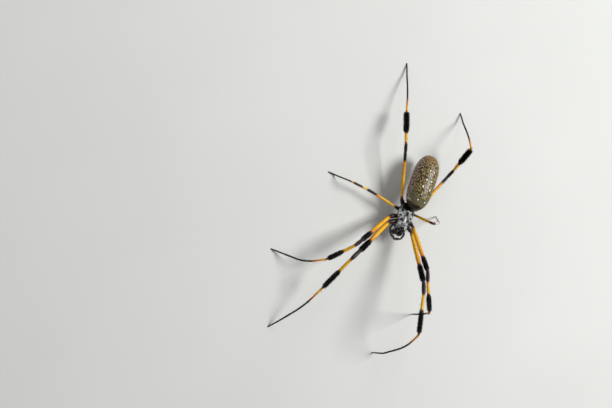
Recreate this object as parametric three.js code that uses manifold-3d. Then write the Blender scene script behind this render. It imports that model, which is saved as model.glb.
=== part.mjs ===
// Golden silk orb weaver, adult female, life size, standing with spread legs.
// Millimetres, +Z up. The head points along -Y, the spider's left is +X, and the feet stand on z = 0.
import * as THREE from 'three';
import { mergeVertices } from 'three/addons/utils/BufferGeometryUtils.js';
import Module from 'manifold-3d';

const wasm = await Module();
wasm.setup();

// Driving dimensions
const GAP = 0.3;                    // clearance between neighbouring pieces
const FOOT_HEIGHT = 0.12;           // middle of a foot above the floor, so that each foot has a flat
const FOOT_REACH = 0.3;             // how far a foot runs on past its last joint
const SPAN_CENTRE = new THREE.Vector2(-10.36, -2.58);   // middle of the span of the feet
const LEG_SIDES = 8;
const BODY_SIDES = 24;

// Carapace and sternum, from the face to the waist: y, half width, top and bottom height
const PROSOMA = [
  { y: -6.8, half: 1.55, top: 8.0, bottom: 7.3 },
  { y: -6.5, half: 2.1, top: 8.45, bottom: 6.6 },
  { y: -5.75, half: 2.35, top: 8.82, bottom: 5.5 },
  { y: -4.55, half: 2.4, top: 9.0, bottom: 4.9 },
  { y: -3.2, half: 2.55, top: 8.98, bottom: 4.55 },
  { y: -1.7, half: 3.05, top: 8.75, bottom: 4.4 },
  { y: -0.4, half: 3.4, top: 8.6, bottom: 4.35 },
  { y: 1.0, half: 3.42, top: 8.55, bottom: 4.5 },
  { y: 2.2, half: 3.1, top: 8.2, bottom: 4.95 },
  { y: 3.2, half: 2.4, top: 7.75, bottom: 5.7 },
  { y: 3.9, half: 1.3, top: 7.35, bottom: 6.35 },
];
// Edge of the carapace: its height, and how far it keeps below the top and above the bottom
const MARGIN = { height: 7.3, belowTop: 0.35, aboveBottom: 0.3 };
// Sternum: its width over the carapace's, and how fast the section narrows to it below the edge
const STERNUM = { share: 0.62, narrowing: 1.9 };
const PROSOMA_STATIONS = 15;
const PEDICEL = { radius: 0.55, from: [0, 3.5, 6.75], to: [0.25, 5.9, 7.6] };

const ABDOMEN = {
  length: 21.3, halfWidth: 4.72, halfHeight: 4.55,
  centre: [1.12, 12.62, 9.0], yaw: -1.8, pitch: -8, roll: 7,
  frontPower: 3.2, rearPower: 3.3, stations: 18, pole: 0.015,
};
// Spinnerets on a mound under the tail: they lean back, gather towards their middle and taper
const SPINNERETS = {
  along: 0.83, drop: 0.97, lean: 0.55, length: 1.5, radius: 0.42, ring: 0.62, mound: 1.15, count: 6,
  reach: 0.62, gather: 0.35, taper: 0.62,
};

const CHELICERA = {
  top: [1.08, -6.5, 7.5], knee: [1.08, -7.55, 6.4], bottom: [0.98, -7.35, 4.0],
  halfWidth: 0.92, halfDepth: 1.0,
  bulge: [[0, 0.85], [0.3, 1], [0.6, 0.98], [0.9, 0.72], [1, 0.5]],
};
const FANG = {
  root: [0.9, -7.3, 3.72], bend: [0.7, -6.9, 3.25], tip: [0.3, -6.05, 3.75], radius: 0.27, taper: 0.8,
};

const EYE = { radius: 0.23, socket: 0.14 };
const EYES = [
  { name: 'eye_median_front', x: 0.42, y: -6.53, z: 7.85 },
  { name: 'eye_median_rear', x: 0.46, y: -6.1, z: 8.62 },
  { name: 'eye_side_front', x: 1.62, y: -6.35, z: 7.7 },
  { name: 'eye_side_rear', x: 1.74, y: -5.93, z: 8.15 },
];
const HUMP = { foot: [0.5, -4.0, 8.8], radius: 0.28, height: 0.55, taper: 0.6 };

const PALP = {
  root: [1.8, -4.9, 4.9], lengths: [2.2, 1.0, 1.75, 2.7],
  radii: [0.34, 0.36, 0.34, 0.36, 0.3, 0.34, 0.12], corner: 0.5,
  right: [[-136, 28], [-84, 10], [-62, 0], [-22, -8]],
  left: [[-52, 26], [-92, 12], [-106, -6], [-158, -34]],
};

// Each leg pair: root in the body, hip, the lengths of femur, patella, tibia, metatarsus and tarsus,
// and the radius of each at its middle
const LEG_PAIRS = {
  1: {
    root: [1.5, -3.3, 5.9], hip: [4.9, -5.15, 6.95], coxa: 0.9,
    lengths: [20.0, 4.5, 15.05, 19.5, 4.7], radii: [0.74, 0.76, 0.6, 0.36, 0.29],
  },
  2: {
    root: [1.9, -1.7, 5.4], hip: [5.0, -2.9, 6.1], coxa: 0.86,
    lengths: [18.3, 4.0, 11.5, 16.1, 4.2], radii: [0.72, 0.72, 0.59, 0.35, 0.29],
  },
  3: {
    root: [1.8, 0.9, 5.3], hip: [4.3, 1.0, 6.1], coxa: 0.72,
    lengths: [10.4, 2.45, 6.4, 7.2, 2.95], radii: [0.5, 0.5, 0.44, 0.3, 0.27],
  },
  4: {
    root: [1.2, 2.7, 5.6], hip: [3.3, 4.5, 6.6], coxa: 0.82,
    lengths: [17.5, 3.3, 12.1, 14.6, 3.9], radii: [0.58, 0.62, 0.58, 0.34, 0.29],
  },
};
// The pose: compass angle and rise in degrees of femur, patella and tibia, the compass angle of the
// metatarsus, whose slope brings the foot to the floor, its bow forwards and upwards, and both angles
// of the tarsus. The left hind leg's hip swings out from under the abdomen.
const POSES = {
  right: {
    1: {
      upper: [[-127, 24], [-121.5, 10], [-106, -23]],
      metatarsus: -115.5, bow: [0.3, 0.8], tarsus: [-122, -30],
    },
    2: {
      upper: [[-130, 23], [-132.5, 24.5], [-126, -29]],
      metatarsus: -165, bow: [1.0, 0.5], tarsus: [179.5, -24],
    },
    3: {
      upper: [[171, -5.5], [175, 0], [178, 5]],
      metatarsus: 176, bow: [0, 0.3], tarsus: [177.5, -11],
    },
    4: {
      upper: [[113.5, 10], [115.5, 12], [103, -17.5]],
      metatarsus: 101.5, bow: [0, 0.4], tarsus: [104, -19],
    },
  },
  left: {
    1: {
      upper: [[-65.5, 28], [-80.5, 25], [-79, 9]],
      metatarsus: -103, bow: [0.9, 0.5], tarsus: [-154, -60],
    },
    2: {
      upper: [[-60.5, 29], [-78, 22], [-72, 17.5]],
      metatarsus: -20, bow: [0, 0.4], tarsus: [-17, -80],
    },
    3: {
      upper: [[-21.5, 72], [13, -48], [19, -48]],
      metatarsus: 41, bow: [0, 0.2], tarsus: [45, -65],
    },
    4: {
      hip: [4.5, 3.1, 6.4], upper: [[64.5, -5.5], [71.5, 13.5], [93, 42.5]],
      metatarsus: 98, bow: [0, 0.5], tarsus: [111, -36],
    },
  },
};
const LEG_CORNER = 0.9;             // rounding at each joint
const JOINT_RING = 0.6;             // how far the rings to either side of a joint lie from it
const RING_CLEARANCE = 0.25;        // least distance from a ring to a piece's end
const RING_SPACING = 0.2;           // least distance between two rings
// Swell of a leg: the joint that a stretch starts at, the share of the stretch, and the radius there over
// that of the named segment
const LEG_SWELL = [
  [0, 0, 'coxa', 0.9], [0, 0.4, 'coxa', 1], [0, 0.68, 'coxa', 0.92], [0, 0.74, 'coxa', 0.78],
  [0, 0.88, 'coxa', 0.84], [0, 1, 'coxa', 0.62],
  [1, 0.12, 'femur', 0.88], [1, 0.35, 'femur', 1], [1, 0.85, 'femur', 0.94], [1, 0.97, 'femur', 1],
  [1, 1, 'patella', 0.94], [2, 0.5, 'patella', 1], [2, 1, 'patella', 0.86],
  [3, 0.12, 'tibia', 0.96], [3, 0.6, 'tibia', 1], [3, 0.94, 'tibia', 1],
  [3, 1, 'metatarsus', 1.3], [4, 0.3, 'metatarsus', 1], [4, 0.7, 'metatarsus', 1],
  [4, 1, 'metatarsus', 0.96], [5, 0.4, 'metatarsus', 0.94], [5, 0.8, 'metatarsus', 0.93],
  [5, 1, 'tarsus', 1.08], [6, 0.5, 'tarsus', 1], [6, 1, 'tarsus', 0.8],
];
// Brushes of black bristles: leg pair, segment, where each starts and ends along it, and its half width
const BRUSHES = [
  { pair: 1, segment: 'femur', from: 0.66, to: 0.965, half: 1.25 },
  { pair: 2, segment: 'femur', from: 0.69, to: 0.965, half: 1.12 },
  { pair: 1, segment: 'tibia', from: 0.42, to: 0.95, half: 1.14 },
  { pair: 2, segment: 'tibia', from: 0.43, to: 0.94, half: 1.12 },
  { pair: 4, segment: 'tibia', from: 0.34, to: 0.95, half: 1.32 },
];
// A brush's height over its half width, from where it starts abruptly to where it thins out
const BRUSH_PROFILE = [[0, 0.6], [0.08, 0.92], [0.3, 1], [0.75, 0.94], [1, 0.58]];
const BRUSH_CORE = 0.5;             // how far the core reaches from the leg's skin towards the tips
// Locks of a brush: how many, their length over the brush's, their section, how deep their roots lie, how
// far they turn aside, and how much their places, lengths, turns and tips vary
const LOCK = {
  rows: 3, around: 4, reach: 0.44, width: 1.1, thick: 0.52, sunk: 0.3, sway: 0.3,
  firstRoot: 0.02, lastShorter: 0.35, shift: 0.03, shortest: 0.86, longer: 0.2, turn: 0.2,
  lowest: 0.94, higher: 0.1, girthOf: 1.2,
};
// A lock's rings: the place along it, the share of the brush's height there, and its width and thickness
const LOCK_RINGS = { middle: 0.32, end: 0.72, endHeight: 0.6, tipHeight: 0.8, rootWidth: 0.8, endWidth: 0.7 };
const LOCK_SEED = 7;
const GENERATOR = { factor: 1664525, step: 1013904223, range: 4294967296 };

const COLOURS = {
  carapace: '#8f938f', abdomen: '#6f6228', spinnerets: '#8a5a2a', jaw: '#17171c', fang: '#3a1410',
  palp: '#16130f', eye: '#0b0b0d', coxa: '#2c0f0e', femur: '#d79a1f', tibia: '#c08a1c', tarsus: '#2a2320',
};
const SEGMENTS = ['femur', 'patella', 'tibia', 'metatarsus', 'tarsus'];
const BOW_JOINT = 5;
const SIDES = { left: 1, right: -1 };
const rad = THREE.MathUtils.degToRad;

// Solids

function closedGeometry(vertices, faces) {
  const geometry = new THREE.BufferGeometry();
  const numbers = vertices.flatMap((p) => p.toArray());
  geometry.setAttribute('position', new THREE.Float32BufferAttribute(numbers, 3));
  let volume = 0;
  for (const [a, b, c] of faces) {
    volume += vertices[a].dot(new THREE.Vector3().crossVectors(vertices[b], vertices[c]));
  }
  const outward = volume > 0 ? faces : faces.map(([a, b, c]) => [a, c, b]);
  geometry.setIndex(outward.flat());
  return geometry;
}

// Skin over a row of rings with the same number of points; its ends close on their middle, or on a tip
function loft(rings, tip = null) {
  const count = rings[0].length;
  const vertices = rings.flat();
  const faces = [];
  for (let r = 0; r < rings.length - 1; r += 1) {
    for (let i = 0; i < count; i += 1) {
      const j = (i + 1) % count;
      const a = r * count + i;
      const b = r * count + j;
      const c = a + count;
      const d = b + count;
      faces.push([a, b, d], [a, d, c]);
    }
  }
  for (const [ring, flip] of [[0, false], [rings.length - 1, true]]) {
    const middle = new THREE.Vector3();
    rings[ring].forEach((p) => middle.add(p));
    vertices.push(flip && tip ? tip : middle.divideScalar(count));
    const hub = vertices.length - 1;
    for (let i = 0; i < count; i += 1) {
      const a = ring * count + i;
      const b = ring * count + ((i + 1) % count);
      faces.push(flip ? [a, b, hub] : [b, a, hub]);
    }
  }
  return closedGeometry(vertices, faces);
}

function toSolid(geometry) {
  const bare = geometry.clone();
  bare.deleteAttribute('normal');
  bare.deleteAttribute('uv');
  const merged = mergeVertices(bare, 1e-4);
  return new wasm.Manifold(new wasm.Mesh({
    numProp: 3,
    vertProperties: new Float32Array(merged.attributes.position.array),
    triVerts: new Uint32Array(merged.index.array),
  }));
}

function toGeometry(solid) {
  const mesh = solid.getMesh();
  const geometry = new THREE.BufferGeometry();
  geometry.setAttribute('position', new THREE.BufferAttribute(new Float32Array(mesh.vertProperties), 3));
  geometry.setIndex(new THREE.BufferAttribute(new Uint32Array(mesh.triVerts), 1));
  return geometry;
}

// The largest closed surface of a solid: loose scraps and sealed hollows go
function largest(solid) {
  const parts = solid.decompose();
  return parts.reduce((best, part) => (part.volume() > best.volume() ? part : best));
}

// Rings of an oval section along a curve, at the given fractions of its length
function ringsAlong(curve, stations, sides, radiusAt) {
  const rings = [];
  const normal = new THREE.Vector3();
  let tangent = curve.getTangentAt(stations[0]);
  const up = Math.abs(tangent.z) < 0.9 ? new THREE.Vector3(0, 0, 1) : new THREE.Vector3(0, 1, 0);
  normal.copy(up).addScaledVector(tangent, -up.dot(tangent)).normalize();
  for (const u of stations) {
    const next = curve.getTangentAt(u);
    const turn = new THREE.Quaternion().setFromUnitVectors(tangent, next);
    normal.applyQuaternion(turn);
    tangent = next;
    const side = new THREE.Vector3().crossVectors(tangent, normal);
    const centre = curve.getPointAt(u);
    const { wide, deep } = radiusAt(u);
    rings.push(Array.from({ length: sides }, (_, i) => {
      const angle = (2 * Math.PI * i) / sides;
      return centre.clone()
        .addScaledVector(normal, deep * Math.sin(angle))
        .addScaledVector(side, wide * Math.cos(angle));
    }));
  }
  return rings;
}

function round(radius) {
  return { wide: radius, deep: radius };
}

function interpolate(table, value) {
  if (value <= table[0][0]) return table[0][1];
  for (let i = 1; i < table.length; i += 1) {
    const [x0, y0] = table[i - 1];
    const [x1, y1] = table[i];
    if (value <= x1) return y0 + ((y1 - y0) * (value - x0)) / (x1 - x0);
  }
  return table[table.length - 1][1];
}

function evenly(count) {
  return Array.from({ length: count }, (_, i) => i / (count - 1));
}

function vector([x, y, z], side = 1) {
  return new THREE.Vector3(side * x, y, z);
}

function direction(yaw, pitch) {
  return new THREE.Vector3(
    Math.cos(rad(pitch)) * Math.cos(rad(yaw)),
    Math.cos(rad(pitch)) * Math.sin(rad(yaw)),
    Math.sin(rad(pitch)),
  );
}

// Body

// The carapace with the sternum under it, grown outwards by a clearance where others are cut to it
function prosomaSolid(grow = 0) {
  const curves = {};
  for (const key of ['y', 'half', 'top', 'bottom']) {
    const points = PROSOMA.map((row, i) => new THREE.Vector3(row[key], i, 0));
    curves[key] = new THREE.CatmullRomCurve3(points, false, 'catmullrom', 0.5);
  }
  const last = PROSOMA_STATIONS - 1;
  const rings = evenly(PROSOMA_STATIONS).map((t, index) => {
    const at = (key) => curves[key].getPoint(t).x;
    let endShift = 0;
    if (index === 0) endShift = -grow;
    if (index === last) endShift = grow;
    const half = at('half') + grow;
    const margin = Math.min(MARGIN.height, at('top') - MARGIN.belowTop);
    const rim = Math.max(margin, at('bottom') + MARGIN.aboveBottom);
    return Array.from({ length: BODY_SIDES }, (_, i) => {
      const angle = (2 * Math.PI * i) / BODY_SIDES;
      const lift = Math.sin(angle);
      const inward = (1 - STERNUM.share) * Math.min(1, -STERNUM.narrowing * lift);
      const narrow = lift < 0 ? 1 - inward : 1;
      const height = lift < 0 ? rim - at('bottom') + grow : at('top') - rim + grow;
      return new THREE.Vector3(half * narrow * Math.cos(angle), at('y') + endShift, rim + height * lift);
    });
  });
  return toSolid(loft(rings));
}

function pedicelSolid(grow = 0) {
  const curve = new THREE.LineCurve3(vector(PEDICEL.from), vector(PEDICEL.to));
  const radius = PEDICEL.radius + grow;
  return toSolid(loft(ringsAlong(curve, [0, 0.5, 1], LEG_SIDES, () => round(radius))));
}

// Place and turn of the abdomen: its own axis runs from the waist to the tail along local +Y
function abdomenPlace() {
  const turn = new THREE.Euler(rad(ABDOMEN.pitch), rad(ABDOMEN.roll), rad(ABDOMEN.yaw), 'ZXY');
  const rotation = new THREE.Quaternion().setFromEuler(turn);
  return new THREE.Matrix4().compose(vector(ABDOMEN.centre), rotation, new THREE.Vector3(1, 1, 1));
}

function abdomenShare(t) {
  const power = t < 0.5 ? ABDOMEN.frontPower : ABDOMEN.rearPower;
  return Math.sqrt(Math.max(0, 1 - Math.abs(2 * t - 1) ** power));
}

function abdomenSolid(grow = 0) {
  const place = abdomenPlace();
  const { length, halfWidth, halfHeight, stations, pole } = ABDOMEN;
  const rings = evenly(stations).map((step) => {
    const t = 0.5 - 0.5 * Math.cos(Math.PI * (pole + (1 - 2 * pole) * step));
    const share = abdomenShare(t);
    const along = (t - 0.5) * (length + 2 * grow);
    return Array.from({ length: BODY_SIDES }, (_, i) => {
      const angle = (2 * Math.PI * i) / BODY_SIDES;
      const x = (halfWidth + grow) * share * Math.cos(angle);
      const z = (halfHeight + grow) * share * Math.sin(angle);
      return new THREE.Vector3(x, along, z).applyMatrix4(place);
    });
  });
  return toSolid(loft(rings));
}

function ballSolid(radius, centre, detail = 1) {
  const geometry = new THREE.IcosahedronGeometry(radius, detail);
  geometry.translate(centre.x, centre.y, centre.z);
  return toSolid(geometry);
}

function spinneretsSolid() {
  const place = abdomenPlace();
  const { along, drop, lean, length, radius, ring, mound, count, reach, gather, taper } = SPINNERETS;
  const depth = ABDOMEN.halfHeight * abdomenShare(along) * drop;
  const seat = new THREE.Vector3(0, (along - 0.5) * ABDOMEN.length, -depth);
  const centre = seat.clone().applyMatrix4(place);
  const axis = new THREE.Vector3(0, lean, -1).normalize().transformDirection(place);
  const aside = new THREE.Vector3(1, 0, 0).transformDirection(place);
  const ahead = new THREE.Vector3().crossVectors(axis, aside);
  let solid = ballSolid(mound, centre, 1);
  for (let i = 0; i < count; i += 1) {
    const angle = (2 * Math.PI * (i + 0.5)) / count;
    const foot = centre.clone()
      .addScaledVector(aside, ring * Math.cos(angle))
      .addScaledVector(ahead, ring * Math.sin(angle));
    const tip = foot.clone().addScaledVector(axis, mound + length * reach)
      .addScaledVector(centre.clone().sub(foot), gather);
    const curve = new THREE.LineCurve3(foot, tip);
    const size = (u) => round(radius * (1 - taper * u * u));
    solid = solid.add(toSolid(loft(ringsAlong(curve, [0, 0.75, 1], 6, size))));
  }
  return largest(solid.subtract(abdomenSolid(GAP)));
}

// Head

function cheliceraSolid(side) {
  const curve = new THREE.CatmullRomCurve3([
    vector(CHELICERA.top, side), vector(CHELICERA.knee, side), vector(CHELICERA.bottom, side),
  ]);
  const size = (u) => ({
    wide: CHELICERA.halfWidth * interpolate(CHELICERA.bulge, u),
    deep: CHELICERA.halfDepth * interpolate(CHELICERA.bulge, u),
  });
  return toSolid(loft(ringsAlong(curve, [0, 0.2, 0.4, 0.6, 0.8, 0.93, 1], 12, size)));
}

function fangSolid(side) {
  const [root, bend, tip] = [FANG.root, FANG.bend, FANG.tip].map((point) => vector(point, side));
  const curve = new THREE.QuadraticBezierCurve3(root, bend, tip);
  const size = (u) => round(FANG.radius * (1 - FANG.taper * u));
  return toSolid(loft(ringsAlong(curve, evenly(5), 7, size)));
}

function palpSolid(name) {
  const side = SIDES[name];
  const joints = [vector(PALP.root, side)];
  PALP[name].forEach(([yaw, pitch], i) => {
    joints.push(joints[i].clone().addScaledVector(direction(yaw, pitch), PALP.lengths[i]));
  });
  const curve = bentCurve(joints, joints.map(() => PALP.corner));
  const swell = PALP.radii.map((radius, i) => [i / (PALP.radii.length - 1), radius]);
  const radiusAt = (u) => round(interpolate(swell, u));
  return toSolid(loft(ringsAlong(curve, evenly(12), 7, radiusAt)));
}

// Legs

// A line through joints, each corner rounded over a distance to either side, one for each joint
function bentCurve(joints, roundings) {
  const path = new THREE.CurvePath();
  let from = joints[0].clone();
  for (let i = 1; i < joints.length - 1; i += 1) {
    const before = joints[i - 1].clone().sub(joints[i]);
    const after = joints[i + 1].clone().sub(joints[i]);
    const reach = Math.min(roundings[i], before.length() * 0.48, after.length() * 0.48);
    const enter = joints[i].clone().addScaledVector(before.normalize(), reach);
    const leave = joints[i].clone().addScaledVector(after.normalize(), reach);
    path.add(new THREE.LineCurve3(from, enter));
    path.add(new THREE.QuadraticBezierCurve3(enter, joints[i].clone(), leave));
    from = leave;
  }
  path.add(new THREE.LineCurve3(from, joints[joints.length - 1].clone()));
  path.arcLengthDivisions = 1200;
  return path;
}

// Root, hip, knee, patella's end, ankle, top of the metatarsus's bow, base of the tarsus, and foot
function legJoints(pair, sideName) {
  const { root, lengths } = LEG_PAIRS[pair];
  const pose = POSES[sideName][pair];
  const side = SIDES[sideName];
  const joints = [vector(root, side), vector(pose.hip ?? LEG_PAIRS[pair].hip, side)];
  pose.upper.forEach(([yaw, pitch], i) => {
    joints.push(joints[i + 1].clone().addScaledVector(direction(yaw, pitch), lengths[i]));
  });
  const [tarsusYaw, tarsusPitch] = pose.tarsus;
  const ankle = joints[4];
  const drop = ankle.z - FOOT_HEIGHT + lengths[4] * Math.sin(rad(tarsusPitch));
  const slope = THREE.MathUtils.radToDeg(-Math.asin(drop / lengths[3]));
  const heel = ankle.clone().addScaledVector(direction(pose.metatarsus, slope), lengths[3]);
  const forward = new THREE.Vector3(heel.y - ankle.y, ankle.x - heel.x, 0).normalize();
  forward.multiplyScalar(forward.y < 0 ? 1 : -1);
  const bow = ankle.clone().add(heel).divideScalar(2)
    .addScaledVector(forward, 2 * pose.bow[0])
    .add(new THREE.Vector3(0, 0, 2 * pose.bow[1]));
  const foot = heel.clone().addScaledVector(direction(tarsusYaw, tarsusPitch), lengths[4] + FOOT_REACH);
  joints.push(bow, heel, foot);
  return joints;
}

// Radius along a leg, as a list of arc lengths and radii
function legRadii(pair, marks) {
  const { radii, coxa } = LEG_PAIRS[pair];
  return LEG_SWELL.map(([joint, share, segment, factor]) => {
    const radius = segment === 'coxa' ? coxa : radii[SEGMENTS.indexOf(segment)];
    return [marks[joint] + (marks[joint + 1] - marks[joint]) * share, radius * factor];
  });
}

// The leg's brushes as stretches of arc length
function legBrushes(pair, marks) {
  return BRUSHES.filter((brush) => brush.pair === pair).map((brush) => {
    const index = SEGMENTS.indexOf(brush.segment) + 1;
    const place = (share) => marks[index] + share * (marks[index + 1] - marks[index]);
    return { from: place(brush.from), to: place(brush.to), half: brush.half };
  });
}

// The same random numbers on every run
function seededRandom(seed) {
  let state = seed;
  return () => {
    state = (state * GENERATOR.factor + GENERATOR.step) % GENERATOR.range;
    return state / GENERATOR.range;
  };
}
const random = seededRandom(LOCK_SEED);

// One flat tapered lock that starts in a brush's core and lies along the leg towards its foot
function brushLock(curve, total, brush, core, { root, reach, turn, sway, outer }) {
  const girth = brush.half / LOCK.girthOf;
  const place = (u) => {
    const at = (root + reach * u) / total;
    const along = curve.getTangentAt(at);
    const up = new THREE.Vector3(0, 0, 1).addScaledVector(along, -along.z).normalize();
    const side = new THREE.Vector3().crossVectors(along, up);
    const angle = turn + sway * u * u;
    const out = up.clone().multiplyScalar(Math.sin(angle)).addScaledVector(side, Math.cos(angle));
    return { centre: curve.getPointAt(at), out, wide: new THREE.Vector3().crossVectors(along, out) };
  };
  const ring = (u, height, width, thick) => {
    const { centre, out, wide } = place(u);
    const middle = centre.addScaledVector(out, height);
    return [
      middle.clone().addScaledVector(wide, (width * girth) / 2),
      middle.clone().addScaledVector(out, thick),
      middle.clone().addScaledVector(wide, (-width * girth) / 2),
    ];
  };
  const height = (u) => {
    const share = (root + reach * u - brush.from) / (brush.to - brush.from);
    return outer * interpolate(BRUSH_PROFILE, share);
  };
  const { middle, end, endHeight, tipHeight, rootWidth, endWidth } = LOCK_RINGS;
  const half = LOCK.thick / 2;
  const tipPlace = place(1);
  const tip = tipPlace.centre.addScaledVector(tipPlace.out, height(tipHeight));
  return toSolid(loft([
    ring(0, core - LOCK.sunk - half, LOCK.width * rootWidth, LOCK.thick),
    ring(middle, (core + height(middle)) / 2 - half, LOCK.width, LOCK.thick),
    ring(end, height(endHeight) - LOCK.thick * endWidth, LOCK.width * endWidth, LOCK.thick * endWidth),
  ], tip));
}

// All locks of a brush, row after row along the leg
function brushLocks(curve, total, brush, coreAt) {
  const locks = [];
  const length = brush.to - brush.from;
  const either = () => 2 * (random() - 0.5);
  for (let row = 0; row < LOCK.rows; row += 1) {
    const last = row === LOCK.rows - 1;
    for (let i = 0; i < LOCK.around; i += 1) {
      const share = (row * (1 - LOCK.reach)) / (LOCK.rows - 1) + (LOCK.shift * either()) / 2;
      const root = brush.from + Math.max(LOCK.firstRoot, share) * length;
      const reach = length * LOCK.reach * (LOCK.shortest + LOCK.longer * random());
      const lock = {
        root,
        reach: reach - (last ? LOCK.lastShorter : 0),
        turn: (2 * Math.PI * (i + 0.5 * (row % 2))) / LOCK.around + (LOCK.turn * either()) / 2,
        sway: LOCK.sway * either(),
        outer: brush.half * (LOCK.lowest + LOCK.higher * random()),
      };
      locks.push(brushLock(curve, total, brush, coreAt(root / total), lock));
    }
  }
  return locks;
}

// Four nodes a leg, cut apart at hip, knee and ankle
function legPieces(pair, sideName) {
  const joints = legJoints(pair, sideName);
  const roundings = joints.map((_, i) => (i === BOW_JOINT ? LEG_PAIRS[pair].lengths[3] : LEG_CORNER));
  const curve = bentCurve(joints, roundings);
  const total = curve.getLength();
  const marks = [0];
  joints.slice(1).forEach((joint, i) => marks.push(marks[i] + joint.distanceTo(joints[i])));
  const scale = total / marks[marks.length - 1];
  marks.forEach((mark, i) => { marks[i] = mark * scale; });
  const radii = legRadii(pair, marks);
  const brushes = legBrushes(pair, marks);
  const radiusAt = (u) => {
    const s = u * total;
    let radius = interpolate(radii, s);
    for (const brush of brushes) {
      const share = (s - brush.from) / (brush.to - brush.from);
      if (share >= 0 && share <= 1) {
        radius += Math.max(0, BRUSH_CORE * (brush.half * interpolate(BRUSH_PROFILE, share) - radius));
      }
    }
    return round(radius);
  };
  const stations = radii.map(([s]) => s);
  marks.slice(1, -1).filter((_, i) => i !== BOW_JOINT - 1)
    .forEach((mark) => stations.push(mark - JOINT_RING, mark + JOINT_RING));
  brushes.forEach((brush) => {
    BRUSH_PROFILE.forEach(([share]) => stations.push(brush.from + share * (brush.to - brush.from)));
  });
  stations.sort((a, b) => a - b);
  const cuts = { coxa: [0, 1], femur: [1, 2], tibia: [2, 4], tarsus: [4, 7] };
  return Object.entries(cuts).map(([name, [first, last]]) => {
    const start = marks[first] + (first > 0 ? GAP / 2 : 0);
    const end = marks[last] - (last < marks.length - 1 ? GAP / 2 : 0);
    const within = (s) => s > start + RING_CLEARANCE && s < end - RING_CLEARANCE;
    const apart = (s, i) => i === 0 || s - stations[i - 1] > RING_SPACING;
    const inside = stations.filter((s, i) => within(s) && apart(s, i));
    const us = [start, ...inside, end].map((s) => Math.min(1, s / total));
    let solid = toSolid(loft(ringsAlong(curve, us, LEG_SIDES, radiusAt)));
    for (const brush of brushes.filter(({ from }) => from > start && from < end)) {
      for (const lock of brushLocks(curve, total, brush, (u) => radiusAt(u).deep)) {
        solid = solid.add(lock);
      }
    }
    return { name: `${name}${pair}_${sideName}`, kind: name, solid };
  });
}

// Assembly

const spider = new THREE.Group();
const pieces = [];

function addPiece(name, solid, colour, roughness = 0.5) {
  const material = new THREE.MeshStandardMaterial({ color: colour, roughness, metalness: 0 });
  const mesh = new THREE.Mesh(toGeometry(solid), material);
  mesh.name = name;
  spider.add(mesh);
  pieces.push(mesh);
}

function aboveFloor(solid) {
  const reach = 200;
  const box = new THREE.BoxGeometry(reach, reach, reach).translate(0, 0, reach / 2);
  return solid.intersect(toSolid(box));
}

const eyePlaces = EYES.flatMap((eye) => Object.entries(SIDES).map(([sideName, side]) => ({
  name: `${eye.name}_${sideName}`, centre: new THREE.Vector3(side * eye.x, eye.y, eye.z),
})));

let prosoma = prosomaSolid().add(pedicelSolid());
for (const side of Object.values(SIDES)) {
  const foot = vector(HUMP.foot, side);
  const hump = new THREE.LineCurve3(foot, foot.clone().add(new THREE.Vector3(0, 0, HUMP.height)));
  const size = (u) => round(HUMP.radius * (1 - HUMP.taper * u));
  prosoma = prosoma.add(toSolid(loft(ringsAlong(hump, [0, 0.6, 1], 8, size))));
}
for (const { centre } of eyePlaces) {
  prosoma = prosoma.subtract(ballSolid(EYE.radius + EYE.socket, centre, 0));
}
const prosomaClear = prosomaSolid(GAP);
addPiece('cephalothorax', largest(prosoma), COLOURS.carapace, 0.7);

const abdomen = largest(abdomenSolid().subtract(prosomaClear).subtract(pedicelSolid(GAP)));
addPiece('abdomen', abdomen, COLOURS.abdomen, 0.4);
addPiece('spinnerets', spinneretsSolid(), COLOURS.spinnerets);
for (const { name, centre } of eyePlaces) {
  addPiece(name, ballSolid(EYE.radius, centre), COLOURS.eye, 0.1);
}

for (const [sideName, side] of Object.entries(SIDES)) {
  addPiece(`chelicera_${sideName}`, largest(cheliceraSolid(side).subtract(prosomaClear)), COLOURS.jaw, 0.25);
  addPiece(`fang_${sideName}`, fangSolid(side), COLOURS.fang, 0.3);
  addPiece(`pedipalp_${sideName}`, largest(palpSolid(sideName).subtract(prosomaClear)), COLOURS.palp, 0.6);
  for (const pair of Object.keys(LEG_PAIRS).map(Number)) {
    for (const { name, kind, solid } of legPieces(pair, sideName)) {
      let piece = kind === 'coxa' ? solid.subtract(prosomaClear) : solid;
      if (kind === 'tarsus') piece = aboveFloor(piece);
      addPiece(name, largest(piece), COLOURS[kind]);
    }
  }
}

for (const mesh of pieces) {
  mesh.geometry.translate(-SPAN_CENTRE.x, -SPAN_CENTRE.y, 0);
}

export default spider;
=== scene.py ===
"""Golden silk orb weaver, adult female, life size: skins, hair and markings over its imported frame."""
import logging
import math
from dataclasses import dataclass, field
from enum import Enum

import bpy
import numpy as np
from mathutils import Matrix, Vector


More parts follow.
